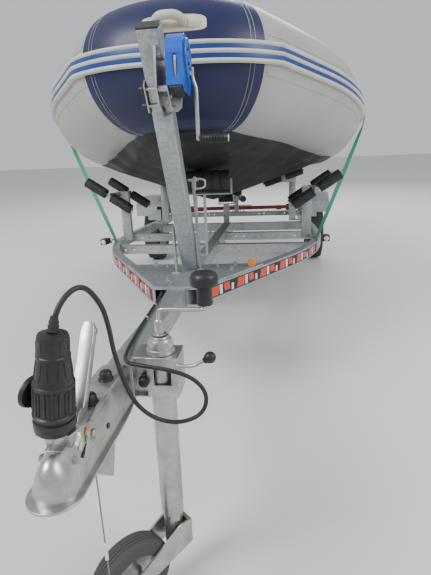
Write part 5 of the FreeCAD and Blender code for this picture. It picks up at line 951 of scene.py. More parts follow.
class FACTORY_OT_winch(bpy.types.Operator):
    """Fit the blue winch, its bracket, its crank and the clamp round the post"""

    bl_idname = "factory.winch"
    bl_label = "Winch"

    def execute(self, context):
        front, rear, low = WINCH_STATION - 0.066, WINCH_STATION + 0.07, WINCH_LEVEL - 0.056
        shoulder, crown = WINCH_LEVEL + 0.04, WINCH_LEVEL + 0.102
        middle, half = (front + rear) / 2, (rear - front) / 2
        top = [(middle - half * cos(radians(a)), shoulder + (crown - shoulder) * sin(radians(a)))
               for a in range(0, 181, 10)]
        outline = [(front + 0.012, low), (front, low + 0.014)] + top + [(rear, low + 0.05), (rear - 0.03, low)]
        left, right = HOUSING_X
        case = Mould()
        for x in (left, right - 0.003):
            case.side_plate(outline, x, 0.003)
        wall = [Vector(((left + right) / 2, y, z)) for y, z in outline[1:-2]]
        slot_low, slot_high = WINCH_LEVEL - 0.02, WINCH_LEVEL + 0.046
        arch = [p for p in wall if p.z > shoulder - 0.001]
        case.strip(arch, X, right - left, 0.003)
        case.pierced(box_outline((left, low + 0.014), (right, shoulder), 2),
                     box_outline((left + 0.022, slot_low), (left + 0.033, slot_high - 0.008), 2),
                     (0, front + 0.0015, 0), X, Z, 0.003)
        gear_cover = ((0, 0.05), (0.006, 0.05), (0.009, 0.047), (0.0095, 0.036),
                      (0.006, 0.034), (0.006, 0.014), (0.009, 0.012), (0.0095, 0))
        case.turned((right - 0.001, WINCH_STATION + 0.004, WINCH_LEVEL + 0.044), X, gear_cover, 40)
        boss = ((0, 0.021), (0.007, 0.021), (0.01, 0.018), (0.0105, 0.008))
        case.turned((right - 0.001, WINCH_STATION, WINCH_LEVEL), X, boss, 28)
        for k in range(5):
            turn = radians(-50 + 35 * k)
            centre = Vector((right + 0.004, WINCH_STATION + 0.004, WINCH_LEVEL + 0.044))
            arm = Vector((0, cos(turn), sin(turn)))
            case.rod([centre + arm * 0.012, centre + arm * 0.036], 0.0028, 8)
        case.made("winch_housing", "blue_enamel", bevel=0.0012, replaces=["winch_frame"])
        inside = Mould()
        inside.block((left + 0.02, front + 0.006, slot_low - 0.006), (left + 0.035, front + 0.009, slot_high))
        inside.rod([(left + 0.0275, front + 0.004, slot_low), (left + 0.0275, front - 0.001, WINCH_LEVEL + 0.008),
                    (left + 0.0275, front - 0.0015, slot_high - 0.012)], 0.0038, 10)
        inside.turned((left + 0.001, WINCH_STATION + 0.008, WINCH_LEVEL + 0.046), X,
                      ((0, 0.006), (right - left - 0.002, 0.006)), 16)
        inside.made("winch_pawl", "zinc_plated_steel", bevel=0.0006)
        foot = Mould()
        foot.strip([(left + 0.026, front + 0.004, low + 0.02), (left + 0.026, front + 0.001, low + 0.008),
                    (left + 0.027, front + 0.012, low - 0.005), (left + 0.027, front + 0.04, low - 0.012)], X,
                   0.036, 0.004)
        foot.made("winch_foot_strap", "black_roller_rubber", bevel=0.001)

        plate = Mould()
        y, z = WINCH_STATION, WINCH_LEVEL
        plate.side_plate([(y + dy, z + dz) for dy, dz in BRACKET_SHEET], 0.0355, 0.007)
        plate.side_plate([(y + dy, z + dz) for dy, dz in BRACKET_LUG], 0.07, 0.004)
        plate.cross_plate(box_outline((0.043, z - 0.1), (0.074, z - 0.034)), y + 0.03, 0.004)
        plate.cross_plate([(x, z + dz) for x, dz in BRACKET_FLANGE], y + 0.01, 0.004)
        for dy, dz in ((-0.04, -0.045), (0.046, -0.05), (0.03, 0.055)):
            plate.turned((0.042, y + dy, z + dz), X, ((0, 0.009), (left - 0.042, 0.009)), 20)
        plate.made("winch_bracket", "zinc_plated_steel", bevel=0.0012, replaces=["winch_plate"])
        bolts = [((x, y + dy, z + dz), way) for x, dy, dz, way in BRACKET_BOLTS]
        set_out("winch_bolts", "hex_bolt", bolts + [((right + 0.0085, y, z), X)], 0.013, 0.005)

        clamp = Mould()
        for height in CLAMP_HEIGHTS:
            clamp.rod([on_post(x, height, 0.0405) for x in (-0.043, 0.046)], 0.0052, 14)
        side = [on_post(0, h, a) for h, a in ((1.12, 0.03), (1.128, 0.052), (1.205, 0.052), (1.213, 0.03),
                                              (1.205, -0.004), (1.128, -0.004))]
        for x in (-0.0405, 0.0438):
            clamp.side_plate([(p.y, p.z) for p in side], x, 0.0045)
        clamp.made("post_clamp", "zinc_plated_steel", bevel=0.0008)
        caps = Mould()
        cap = ((0, 0.0105), (0.004, 0.0105), (0.005, 0.009), (0.016, 0.0085), (0.0205, 0.006), (0.0215, 0.002))
        for height in CLAMP_HEIGHTS:
            caps.turned(on_post(-0.0405, height, 0.0405), -X, cap, 18)
        caps.made("post_clamp_caps", "black_abs")

        crank = Mould()
        shaft = right + 0.0125
        crank.turned((0.058, y, z), X, ((0, 0.0088), (right + 0.012 - 0.058, 0.0088)), 20)
        crank.turned((shaft - 0.002, y, z), X, ((0, 0.0115), (0.009, 0.0115), (0.0105, 0.009)), 6)
        arm = rounded([(shaft + 0.003, y, z + 0.014), (shaft + 0.003, y, z - 0.016), (shaft + 0.013, y, z - 0.042),
                       (shaft + 0.013, y, z - 0.187)], 0.018)
        crank.rod(arm, 0.0062, 14)
        crank.rod([(shaft + 0.01, y, z - 0.185), (shaft + 0.028, y, z - 0.185)], 0.0055, 12)
        crank.made("winch_crank_arm", "zinc_plated_steel", body="winch_handle", bevel=0.0006,
                   replaces=["winch_crank"])
        grip = Mould()
        profile = [(0, 0.0105), (0.002, 0.0125)]
        for k in range(9):
            start = 0.008 + 0.0085 * k
            profile += [(start, 0.0118 + 0.0008 * sin(k)), (start + 0.0015, 0.0136), (start + 0.0055, 0.0136),
                        (start + 0.007, 0.0118)]
        profile += [(0.087, 0.0128)]
        grip.turned((shaft + 0.018, y, z - 0.185), X, profile, 28)
        button = ((0, 0.0118), (0.002, 0.0118), (0.0035, 0.0105), (0.004, 0.004))
        grip.turned((shaft + 0.1045, y, z - 0.185), X, button, 28, 1)
        grip.made("winch_crank_grip", "black_abs", "zinc_plated_steel", body="winch_handle")
        return {"FINISHED"}


# Coupling's pressed body: station, half width, top, taper, squareness
COUPLING_ROWS = (
    (0.178, 0.0415, 0.46, 0.3, 2.3), (0.2, 0.0415, 0.462, 0.28, 3.0), (0.218, 0.0415, 0.4622, 0.25, 3.6),
    (0.23, 0.0415, 0.473, 0.2, 4.6), (0.244, 0.0415, 0.4745, 0.18, 5.5), (0.3, 0.0418, 0.4745, 0.14, 6.5),
    (0.345, 0.042, 0.4745, 0.12, 7.0), (0.352, 0.042, 0.478, 0.11, 7.0), (0.47, 0.042, 0.478, 0.1, 7.0),
    (0.48, 0.0415, 0.477, 0.1, 7.0),
)
LIP_LEVEL, NOSE_REACH = 0.3845, 0.0375


def press_section(station, half, top, taper, square, wall=0.0, count=36):
    """The coupling's cross-section, an arch from lip to lip, drawn in by the wall's thickness."""
    low = LIP_LEVEL - (0.001 if wall else 0)
    row = []
    for k in range(count + 1):
        turn = pi * k / count
        c, s = cos(turn), sin(turn)
        high = abs(s) ** (2 / square)
        x = -(half - wall) * copysign(abs(c) ** (2 / square), c) * (1 - taper * high)
        row.append((x, station, low + max(0.0, top - wall - low) * high))
    return row


class FACTORY_OT_coupling(bpy.types.Operator):
    """Press the coupling head and its lip, and fit its lever, capped bolts and rivets"""

    bl_idname = "factory.coupling"
    bl_label = "Coupling"

    def execute(self, context):
        rows = []
        for k in range(11):
            turn = radians(9 * k)
            full = COUPLING_ROWS[0]
            station = full[0] - NOSE_REACH * cos(turn)
            half = full[1] * max(sin(turn), 0.02)
            top = LIP_LEVEL + (full[2] - LIP_LEVEL) * max(sin(turn), 0.0) ** 0.85
            wall = 0.0035 * min(1.0, sin(turn) * 2)
            rows.append((station, half, top, full[3] * sin(turn), 2.0 + 0.3 * k / 10, wall))
        for before, after in zip(COUPLING_ROWS, COUPLING_ROWS[1:]):
            for k in range(1, 5):
                share = k / 4
                rows.append(tuple(a + (b - a) * share for a, b in zip(before, after)) + (0.0035,))
        press = Mould()
        press.closed([press_section(*row[:5]) + press_section(*row)[::-1] for row in rows])
        nose = [(0.0495 * sin(a), 0.178 - 0.0506 * cos(a)) for a in turns(-90, 91, 9)]
        inner = [(0.0385 * sin(a), 0.178 - 0.033 * cos(a)) for a in turns(-90, 91, 9)]
        sides = [(0.0495, 0.25), (0.05, 0.37), (0.0485, 0.43), (0.044, 0.478)]
        back = [(0.0385, 0.25), (0.0385, 0.37), (0.0385, 0.43), (0.037, 0.474)]
        outer_line = nose + sides + [(-x, y) for x, y in reversed(sides)]
        inner_line = inner + back + [(-x, y) for x, y in reversed(back)]
        press.pierced(outer_line, inner_line, (0, 0, LIP_LEVEL), X, Y, 0.0048)
        press.ring((0, 0.178, 0.418), Z, [(-0.033, 0.0262), (-0.02, 0.0262)] +
                   [(0.0262 * sin(a), 0.0262 * cos(a)) for a in turns(0, 86, 12)] +
                   [(0.03 * sin(a), 0.03 * cos(a)) for a in turns(84, -1, -12)] + [(-0.033, 0.03)])
        ridge = [(0.0335, 0.262, 0.4735), (0.0335, 0.3, 0.4775), (0.0335, 0.345, 0.4765)]
        for side in (-1, 1):
            press.rod([(side * x, y, z) for x, y, z in ridge],
                      lambda t: 0.0055 * sin(pi * (0.08 + 0.84 * t)) ** 0.5, 12)
        press.side_plate([(0.244, 0.386), (0.344, 0.386), (0.317, 0.313), (0.311, 0.313), (0.244, 0.372)], 0.0385,
                         0.0038)
        press.made("coupling_pressing", "zinc_plated_steel", bevel=0.001, crease=32, replaces=["coupling_head"])
        window_rim = Mould()
        window_rim.pierced(box_outline((-0.016, 0.184), (0.016, 0.206), 2),
                           box_outline((-0.014, 0.186), (0.014, 0.204), 2), (0, 0, 0.4612), X, Y, 0.0016)
        window_rim.made("coupling_window_rim", "zinc_plated_steel", bevel=0.0004)
        seat = Mould()
        seat.flat_plate([(-0.036, 0.198), (0.026, 0.198), (0.036, 0.232), (-0.034, 0.232)], 0.4795, 0.0045)
        seat.side_plate([(0.206, 0.455), (0.234, 0.455), (0.232, 0.4805), (0.202, 0.4805)], -0.024, 0.046)
        seat.made("plug_seat", "zinc_plated_steel", bevel=0.0008)
        dabs = Mould()
        dabs.side_plate([(0.214, 0.446), (0.222, 0.438), (0.233, 0.448), (0.228, 0.458)], 0.029, 0.0022, 0)
        dabs.side_plate([(0.23, 0.449), (0.236, 0.444), (0.243, 0.452), (0.238, 0.459)], 0.0325, 0.0024, 1)
        dabs.side_plate([(0.236, 0.461), (0.241, 0.455), (0.254, 0.464), (0.248, 0.469)], 0.031, 0.0024, 2)
        dabs.made("wear_gauge", "white_nylon", "green_gauge", "orange_gauge", bevel=0.0004, slot="zinc")
        # Painted shade: the side hole is not cut; a flat black disc on the pressing and a slanted black patch below
        # the gauge dabs are black for the shade inside
        hole = Mould()
        hole.turned((0.0388, 0.3208, 0.4228), X, ((0, 0.006), (0.0024, 0.006)), 24)
        hole.side_plate([(0.212, 0.432), (0.217, 0.426), (0.236, 0.441), (0.232, 0.447)], 0.0338, 0.0014)
        hole.made("coupling_side_hole_shade", "black_tape", slot="black_plastic")
        rivets = [((side * x, station, z), (side, lean, rise)) for side in (1, -1)
                  for x, station, z, lean, rise in ((0.0366, 0.2584, 0.44, 0, 0.15),
                                                    (0.03, 0.199, 0.437, -0.1, 0.5))]
        set_out("coupling_rivets", "round_rivet", rivets, 0.015, 0.007)
        caps = Mould()
        cap = ((0, 0.0165), (0.003, 0.0165), (0.0045, 0.0145), (0.016, 0.013), (0.0195, 0.0105), (0.021, 0.004))
        for spot in ((0.008, 0.408, 0.4775), (0.01, 0.318, 0.474)):
            caps.turned(spot, Z, cap, 24)
        caps.made("coupling_bolt_caps", "black_abs")

        pivot, tip = Vector((0, 0.262, 0.462)), Vector((0, 0.372, 0.623))
        way = (tip - pivot).normalized()
        face = Vector((0, -way.z, way.y))
        length = (tip - pivot).length
        lever = Mould()
        rows = []
        for k in range(25):
            t = k / 24
            half = 0.0155 if t < 0.9 else 0.0155 * (1 - ((t - 0.9) / 0.1) ** 2 * 0.42)
            deep = 0.019 * (1 - 0.3 * t) + (0.008 * max(0.0, 1 - t * 6))
            sheet, soft = 0.0028, 0.004
            section = [(-half, -deep), (-half, -soft), (-half + 0.0012, -0.0012), (-half + soft, 0),
                       (half - soft, 0), (half - 0.0012, -0.0012),
                       (half, -soft), (half, -deep), (half - sheet, -deep), (half - sheet, -sheet - 0.001),
                       (-half + sheet, -sheet - 0.001), (-half + sheet, -deep)]
            spot = pivot + way * length * t
            rows.append([spot + Vector((x, 0, 0)) + face * d for x, d in section])
        lever.closed(rows)
        end = pivot + way * (length - 0.0005)
        lever.slab(box_outline((-0.0095, -0.012), (0.0095, -0.001)), end, X, face, 0.0025)
        lever.ring(tip - way * 0.018 + Vector((0.0148, 0, 0)) - face * 0.01, X,
                   [(0, 0.0038), (0.0022, 0.0042), (0.0022, 0.0062), (0, 0.0068)], 24)
        for side in (-1, 1):
            x = side * 0.0172
            lever.turned((x - 0.0014, 0.264, 0.466), X, ((0, 0.027), (0.0028, 0.027)), 36)
        pin = ((0, 0.0055), (0.002, 0.0085), (0.005, 0.0085), (0.0052, 0.005),
               (0.0768, 0.005), (0.077, 0.0085), (0.08, 0.0085), (0.082, 0.0055))
        lever.turned((-0.041, 0.262, 0.446), X, pin, 20)
        lever.turned((-0.0142, 0.262, 0.47), X, ((0, 0.012), (0.0284, 0.012)), 24)
        lever.made("coupling_lever", "zinc_plated_steel", bevel=0.0006, crease=32, replaces=["coupling_handle"])
        return {"FINISHED"}


# The plug's turned parts, (distance from its foot or start, radius)
PLUG_BODY = (
    (0.0395, 0.03), (0.04, 0.033), (0.086, 0.0328), (0.0875, 0.0345), (0.092, 0.0345), (0.0935, 0.0325),
    (0.137, 0.0262), (0.1385, 0.0275), (0.142, 0.0275), (0.1435, 0.0262), (0.168, 0.0255), (0.172, 0.0255),
    (0.177, 0.0235), (0.1795, 0.018), (0.1805, 0.01),
)
PLUG_COLLAR = (
    (0, 0.024), (0.002, 0.0305), (0.006, 0.0335), (0.022, 0.0352), (0.0255, 0.0345), (0.027, 0.0315),
    (0.031, 0.0315), (0.0325, 0.0352), (0.037, 0.0358), (0.0385, 0.0342), (0.0397, 0.033),
)
PLUG_LID = (
    (0, 0.024), (0.001, 0.0275), (0.006, 0.029), (0.0085, 0.029), (0.0105, 0.027), (0.0115, 0.02),
    (0.0095, 0.018), (0.0095, 0),
)
PLUG_SLEEVE = (
    (0, 0.0098), (0.004, 0.0098), (0.0045, 0.0086), (0.008, 0.0086), (0.0085, 0.0092), (0.011, 0.009),
    (0.0115, 0.008), (0.015, 0.0078), (0.0155, 0.0083), (0.018, 0.008), (0.0185, 0.0071), (0.025, 0.0062),
    (0.026, 0.005),
)
# One window of the plug's grip: shift round the plug, distance from its foot
PLUG_WINDOW = ((-0.009, 0.134), (-0.0095, 0.108), (-0.0065, 0.101), (0.0065, 0.101), (0.0095, 0.108),
               (0.009, 0.134))


class FACTORY_OT_plug(bpy.types.Operator):
    """Turn the black plug with its ribs, windows, lid and cable sleeve"""

    bl_idname = "factory.plug"
    bl_label = "Plug"

    def execute(self, context):
        foot, head = Vector((-0.008, 0.213, 0.4845)), Vector((0.014, 0.2135, 0.664))
        way = (head - foot).normalized()
        side = way.cross(Y).normalized()
        ahead = side.cross(way).normalized()

        def spokes(count, shift=0.0):
            """Outward and sideways directions, evenly round the plug."""
            for k in range(count):
                turn = tau * (k + shift) / count
                out = side * cos(turn) + ahead * sin(turn)
                yield out, way.cross(out)

        plug = Mould()
        plug.turned(foot, way, PLUG_BODY, 48)
        for out, across in spokes(12, 0.3):
            for shift in (-0.0052, 0.0052):
                line = [foot + way * a + out * 0.0322 + across * shift for a in (0.042, 0.044, 0.082, 0.084)]
                plug.rod(line, lambda t: 0.0016 + 0.0008 * sin(pi * t), 8)
        for out, across in spokes(6, 0.1):
            line = []
            for shift, along in PLUG_WINDOW:
                radius = 0.0325 - (along - 0.0935) * 0.145
                lean = shift / radius
                line.append(foot + way * along + (out * cos(lean) + across * sin(lean)) * radius)
            plug.rod(rounded(line, 0.004, 3), 0.0012, 8)
        for out, _ in spokes(10):
            plug.rod([foot + way * 0.146 + out * 0.0252, foot + way * 0.168 + out * 0.025], 0.0016, 8)
        lid = foot + way * 0.064 + side * 0.036 + ahead * 0.004
        lid_way = (side + way * 0.1 + ahead * 0.25).normalized()
        collar = Mould()
        collar.turned(foot, way, PLUG_COLLAR, 48)
        collar.turned(lid, lid_way, PLUG_LID, 40)
        collar.rod([foot + way * 0.03 + side * 0.033, lid - way * 0.026 + lid_way * 0.004, lid + lid_way * 0.006],
                   0.0055, 12)
        plug.made("trailer_plug", "black_abs", crease=34, replaces=["plug"])
        collar.made("plug_collar_and_lid", "black_abs", crease=34)
        sleeve = Mould()
        start, on = Vector((0.0146, 0.2132, 0.663)), Vector((0.019, 0.222, 0.702))
        sleeve.turned(start, on - start, PLUG_SLEEVE, 24)
        sleeve.made("plug_cable_sleeve", "black_roller_rubber")
        return {"FINISHED"}


# Jockey wheel: stem's place, wheel's centre and axle direction, the crank's knob
STEM = Vector((0.1, 0.53, 0))
JOCKEY_HUB = Vector((0.0077, 0.4274, -0.0874))
JOCKEY_AXLE = Vector((cos(radians(42)), -sin(radians(42)), 0))
KNOB = (
    (0, 0.0165), (0.0015, 0.0182), (0.006, 0.0188), (0.037, 0.0178), (0.041, 0.0185), (0.0435, 0.0235),
    (0.046, 0.03), (0.05, 0.0326), (0.06, 0.033), (0.068, 0.0322), (0.074, 0.029), (0.078, 0.022),
    (0.08, 0.011), (0.0795, 0.003),
)
# Half of the jockey rim's section from its seat round the dish to the hub
JOCKEY_RIM_HALF = (
    (-0.021, 0.066), (-0.024, 0.069), (-0.0255, 0.068), (-0.022, 0.062), (-0.006, 0.058), (-0.003, 0.03),
    (-0.026, 0.019), (-0.029, 0.018), (-0.029, 0.0074),
)


class FACTORY_OT_jockey(bpy.types.Operator):
    """Fit the jockey wheel's clamp, cup, bent crank with its knob, and the ribbed tyre"""

    bl_idname = "factory.jockey"
    bl_label = "Jockey wheel"

    def execute(self, context):
        x, y = STEM.x, STEM.y
        clamp = Mould()
        clamp.side_plate(box_outline((0.48, 0.386), (0.578, 0.487)), 0.0355, 0.007)
        clamp.pierced(box_outline((0.072, 0.387), (0.146, 0.4885), 3),
                      box_outline((0.088, 0.418), (0.13, 0.464), 3), (0, 0.4965, 0), X, Z, 0.004)
        for level in (0.386, 0.4845):
            clamp.pierced(box_outline((0.04, 0.4945), (0.146, 0.572), 6), round_outline((x, y), 0.0304, 24),
                          (0, 0, level), X, Y, 0.004)
        clamp.side_plate(box_outline((0.4945, 0.387), (0.572, 0.4885)), 0.142, 0.004)
        clamp.cross_plate(box_outline((0.04, 0.387), (0.146, 0.4885)), 0.572, 0.004)
        clamp.cross_plate(box_outline((0.041, 0.387), (0.073, 0.4885)), 0.512, 0.004)
        clamp.turned((0.144, 0.492, 0.47), X, ((0, 0.01), (0.004, 0.01), (0.0045, 0.007), (0.012, 0.007),
                                               (0.0125, 0.004)), 20)
        bar = rounded([(0.15, 0.492, 0.47), (0.184, 0.492, 0.47), (0.216, 0.489, 0.4905)], 0.014)
        clamp.rod(bar, 0.0044, 14)
        clamp.made("jockey_clamp_box", "zinc_plated_steel", bevel=0.001, replaces=["jockey_clamp"])
        ball = Mould()
        centre = Vector((0.2245, 0.488, 0.4955))
        ball.turned(centre, (0.83, -0.05, 0.55), [(0.014 * -cos(a), 0.014 * sin(a)) for a in turns(14, 181, 12)],
                    28)
        ball.turned(centre, (-0.83, 0.05, -0.55), ((0.008, 0.0095), (0.016, 0.0075), (0.0165, 0.005)), 20)
        ball.turned((0.0655, 0.4975, 0.43), (0, -1, 0), ((0, 0.015), (0.003, 0.015), (0.0045, 0.0125),
                                                         (0.016, 0.012), (0.019, 0.009), (0.02, 0.003)), 24)
        ball.made("jockey_clamp_caps", "black_abs")
        cup = Mould()
        cup.turned((x, y, 0.4885), Z, ((0, 0.0325), (0.002, 0.0342), (0.0055, 0.0342), (0.008, 0.0312),
                                       (0.011, 0.0306)), 36)
        cup.turned((x, y, 0.4985), Z, ((0, 0.0306), (0.014, 0.0302), (0.021, 0.0292), (0.0265, 0.0262),
                                       (0.029, 0.0215)), 14)
        cup.ring((x, y, 0.527), Z, [(0, 0.013), (0.0045, 0.013), (0.0045, 0.0205), (0, 0.0225)], 36)
        cup.made("jockey_cup", "zinc_plated_steel", body="jockey_leg", bevel=0.0008, crease=28)
        crank = Mould()
        crank.turned((x, y, 0.2), Z, ((0, 0.0078), (0.345, 0.0078)), 18)
        crank.turned((x, y, 0.532), Z, ((0, 0.0125), (0.0025, 0.0165), (0.0045, 0.0165), (0.006, 0.0108),
                                        (0.034, 0.0108), (0.038, 0.009), (0.04, 0.007)), 24)
        line = rounded([(x, y, 0.56), (x, y, 0.596), (0.212, y, 0.5955), (0.212, y, 0.63)], 0.013)
        crank.rod(line, 0.0055, 16)
        crank.made("jockey_crank_rod", "zinc_plated_steel", body="jockey_handle", replaces=["jockey_crank"])
        knob = Mould()
        knob.turned((0.212, y, 0.6075), Z, KNOB, 40)
        knob.made("jockey_knob", "black_abs", body="jockey_handle", crease=50)
        tyre = Mould()
        loop = [(-0.028, 0.07), (-0.0278, 0.09), (-0.0262, 0.0985), (-0.0225, 0.104)]
        for k in range(5):
            start = -0.0175 + 0.0085 * k
            loop += [(start - 0.0026, 0.1066 - 0.0006 * (k - 2) ** 2 * 0.5),
                     (start, 0.1076 - 0.0003 * (k - 2) ** 2), (start + 0.0036, 0.1076 - 0.0003 * (k - 2) ** 2),
                     (start + 0.0046, 0.1048)]
        loop += [(0.0225, 0.104), (0.0262, 0.0985), (0.0278, 0.09), (0.028, 0.07), (0.02, 0.0664), (-0.02, 0.0664)]
        tyre.ring(JOCKEY_HUB, JOCKEY_AXLE, loop, 72)
        tyre.made("jockey_ribbed_tyre", "tyre_rubber", body="jockey_wheel", crease=40, replaces=["jockey_tyre"])
        rim = Mould()
        rim.ring(JOCKEY_HUB, JOCKEY_AXLE, [*JOCKEY_RIM_HALF, *((-a, r) for a, r in reversed(JOCKEY_RIM_HALF))], 48)
        rim.made("jockey_dished_rim", "zinc_plated_steel", body="jockey_wheel", crease=30, slot="galvanised",
                 replaces=["jockey_rim"])
        nuts = [(JOCKEY_HUB + JOCKEY_AXLE * side * 0.0375, JOCKEY_AXLE * side) for side in (-1, 1)]
        set_out("jockey_axle_nuts", "hex_bolt", nuts, 0.019, 0.008, body="jockey_caster")
        rust = Mould()
        for turn, low, high, half in ((25, -0.012, 0.012, 0.003), (-8, 0.016, 0.028, 0.0022),
                                      (36, -0.036, -0.026, 0.003)):
            rows = []
            for z in (low, low + 0.002, high - 0.002, high):
                edge = z in (low, high)
                rows.append([Vector((x, y, z)) + Vector((sin(a), -cos(a), 0))
                             * (0.0252 if not edge and abs(j) < 2 else 0.0248)
                             for j in range(-2, 3)
                             for a in [radians(turn) + j / 2 * half * (0.6 if edge else 1) / 0.025]])
            back = [[Vector((x, y, p.z)) + (p - Vector((x, y, p.z))).normalized() * 0.024 for p in row]
                    for row in rows]
            rust.closed([row + under[::-1] for row, under in zip(rows, back)])
        rust.made("stem_rust_marks", "rust", body="jockey_caster", slot="zinc")
        softened("jockey_fork", "jockey_fork_pressing", "zinc_plated_steel", 0.0008, "jockey_caster")
        return {"FINISHED"}


# Rails: the straight run's start, then the bend
RAIL_START = Vector((0.0649, 1.19, 0))
RAIL_STRAIGHT, RAIL_BEND, RAIL_ANGLE = 0.679 / cos(radians(30)), 2.0, radians(30)


def rail_face(along, level, lift=0.0):
    """A point on a rail's outer face at a length from its front end, port side."""
    ahead = Vector((sin(RAIL_ANGLE), cos(RAIL_ANGLE), 0))
    if along < RAIL_STRAIGHT:
        spot, angle = RAIL_START + ahead * along, RAIL_ANGLE
    else:
        spot = RAIL_START + ahead * RAIL_STRAIGHT
        turned = (along - RAIL_STRAIGHT) / RAIL_BEND
        angle = RAIL_ANGLE - turned
        centre = spot + Vector((-cos(RAIL_ANGLE), sin(RAIL_ANGLE), 0)) * RAIL_BEND
        spot = centre + Vector((cos(angle), -sin(angle), 0)) * RAIL_BEND
    out = Vector((cos(angle), -sin(angle), 0))
    return Vector((0, 0, level)) + spot + out * (0.025 + lift)


# The tape's run along the rail, and its blocks: width, gap after, finish, lower and upper edge, slant
TAPE_START, TAPE_END = 0.04, 1.27
BLOCKS = ((0.056, 0.012, 1, 0.407, 0.448, 0.01), (0.02, 0.016, 2, 0.407, 0.448, 0.0),
          (0.042, 0.01, 1, 0.414, 0.448, -0.008), (0.016, 0.026, 2, 0.407, 0.436, 0.0))


class FACTORY_OT_rail_tape(bpy.types.Operator):
    """Stick the black tape with its plain red and white blocks on the rails' front runs"""

    bl_idname = "factory.rail_tape"
    bl_label = "Reflective blocks"

    def execute(self, context):
        for name, side in (("port", 1), ("starboard", -1)):
            tape = Mould()

            def sheet(start, end, low, high, lift, finish, slant=0.0):
                count = max(1, round((end - start) / 0.04))
                rows = []
                for k in range(count + 1):
                    along = start + (end - start) * k / count
                    rows.append([rail_face(along + s, z, d) for s, z, d in
                                 ((0, low, 0.0002), (0, low, lift), (slant, high, lift), (slant, high, 0.0002))])
                rows = [[Vector((p.x * side, p.y, p.z)) for p in row] for row in rows]
                tape.closed(rows, finish)

            sheet(TAPE_START, TAPE_END, 0.402, 0.453, 0.0006, 0)
            along, k = TAPE_START + 0.035, 0
            while along < TAPE_END - 0.08:
                wide, gap, finish, low, high, slant = BLOCKS[k % len(BLOCKS)]
                sheet(along, along + wide, low, high, 0.001, finish, slant)
                along += wide + gap
                k += 1
            tape.made("rail_blocks_" + name, "black_tape", "red_reflective_film", "white_reflective_film",
                      slot="galvanised")
        return {"FINISHED"}


# CAD parts whose edges are rounded: node, new name, finish, edge radius, and the body where it isn't the trailer
SOFTENED = (
    ("winch_post", "winch_post_tube", "galvanised_steel", 0.002),
    ("post_cap", "post_end_cap", "black_abs", 0.0018),
    ("drawbar", "drawbar_tube", "galvanised_steel", 0.002),
    ("frame_plates", "tie_plates", "galvanised_steel", 0.0012),
    ("cross_members", "cross_channels", "galvanised_steel", 0.0015),
    ("roller_posts", "roller_pillars", "galvanised_steel", 0.0015),
    ("roller_rockers", "rocking_beams", "galvanised_steel", 0.0012),
    ("keel_roller_brackets", "keel_brackets", "galvanised_steel", 0.0012),
    ("lamp_bar", "lamp_beam", "red_powder_coat", 0.002),
    ("thwart", "bench_board", "painted_plywood", 0.003),
    ("transom", "transom_board", "painted_plywood", 0.003),
    ("motor_cowl", "motor_hood", "cowl_paint", 0.006, "motor_head"),
    ("axle_beam", "axle_tube", "galvanised_steel", 0.002),
)


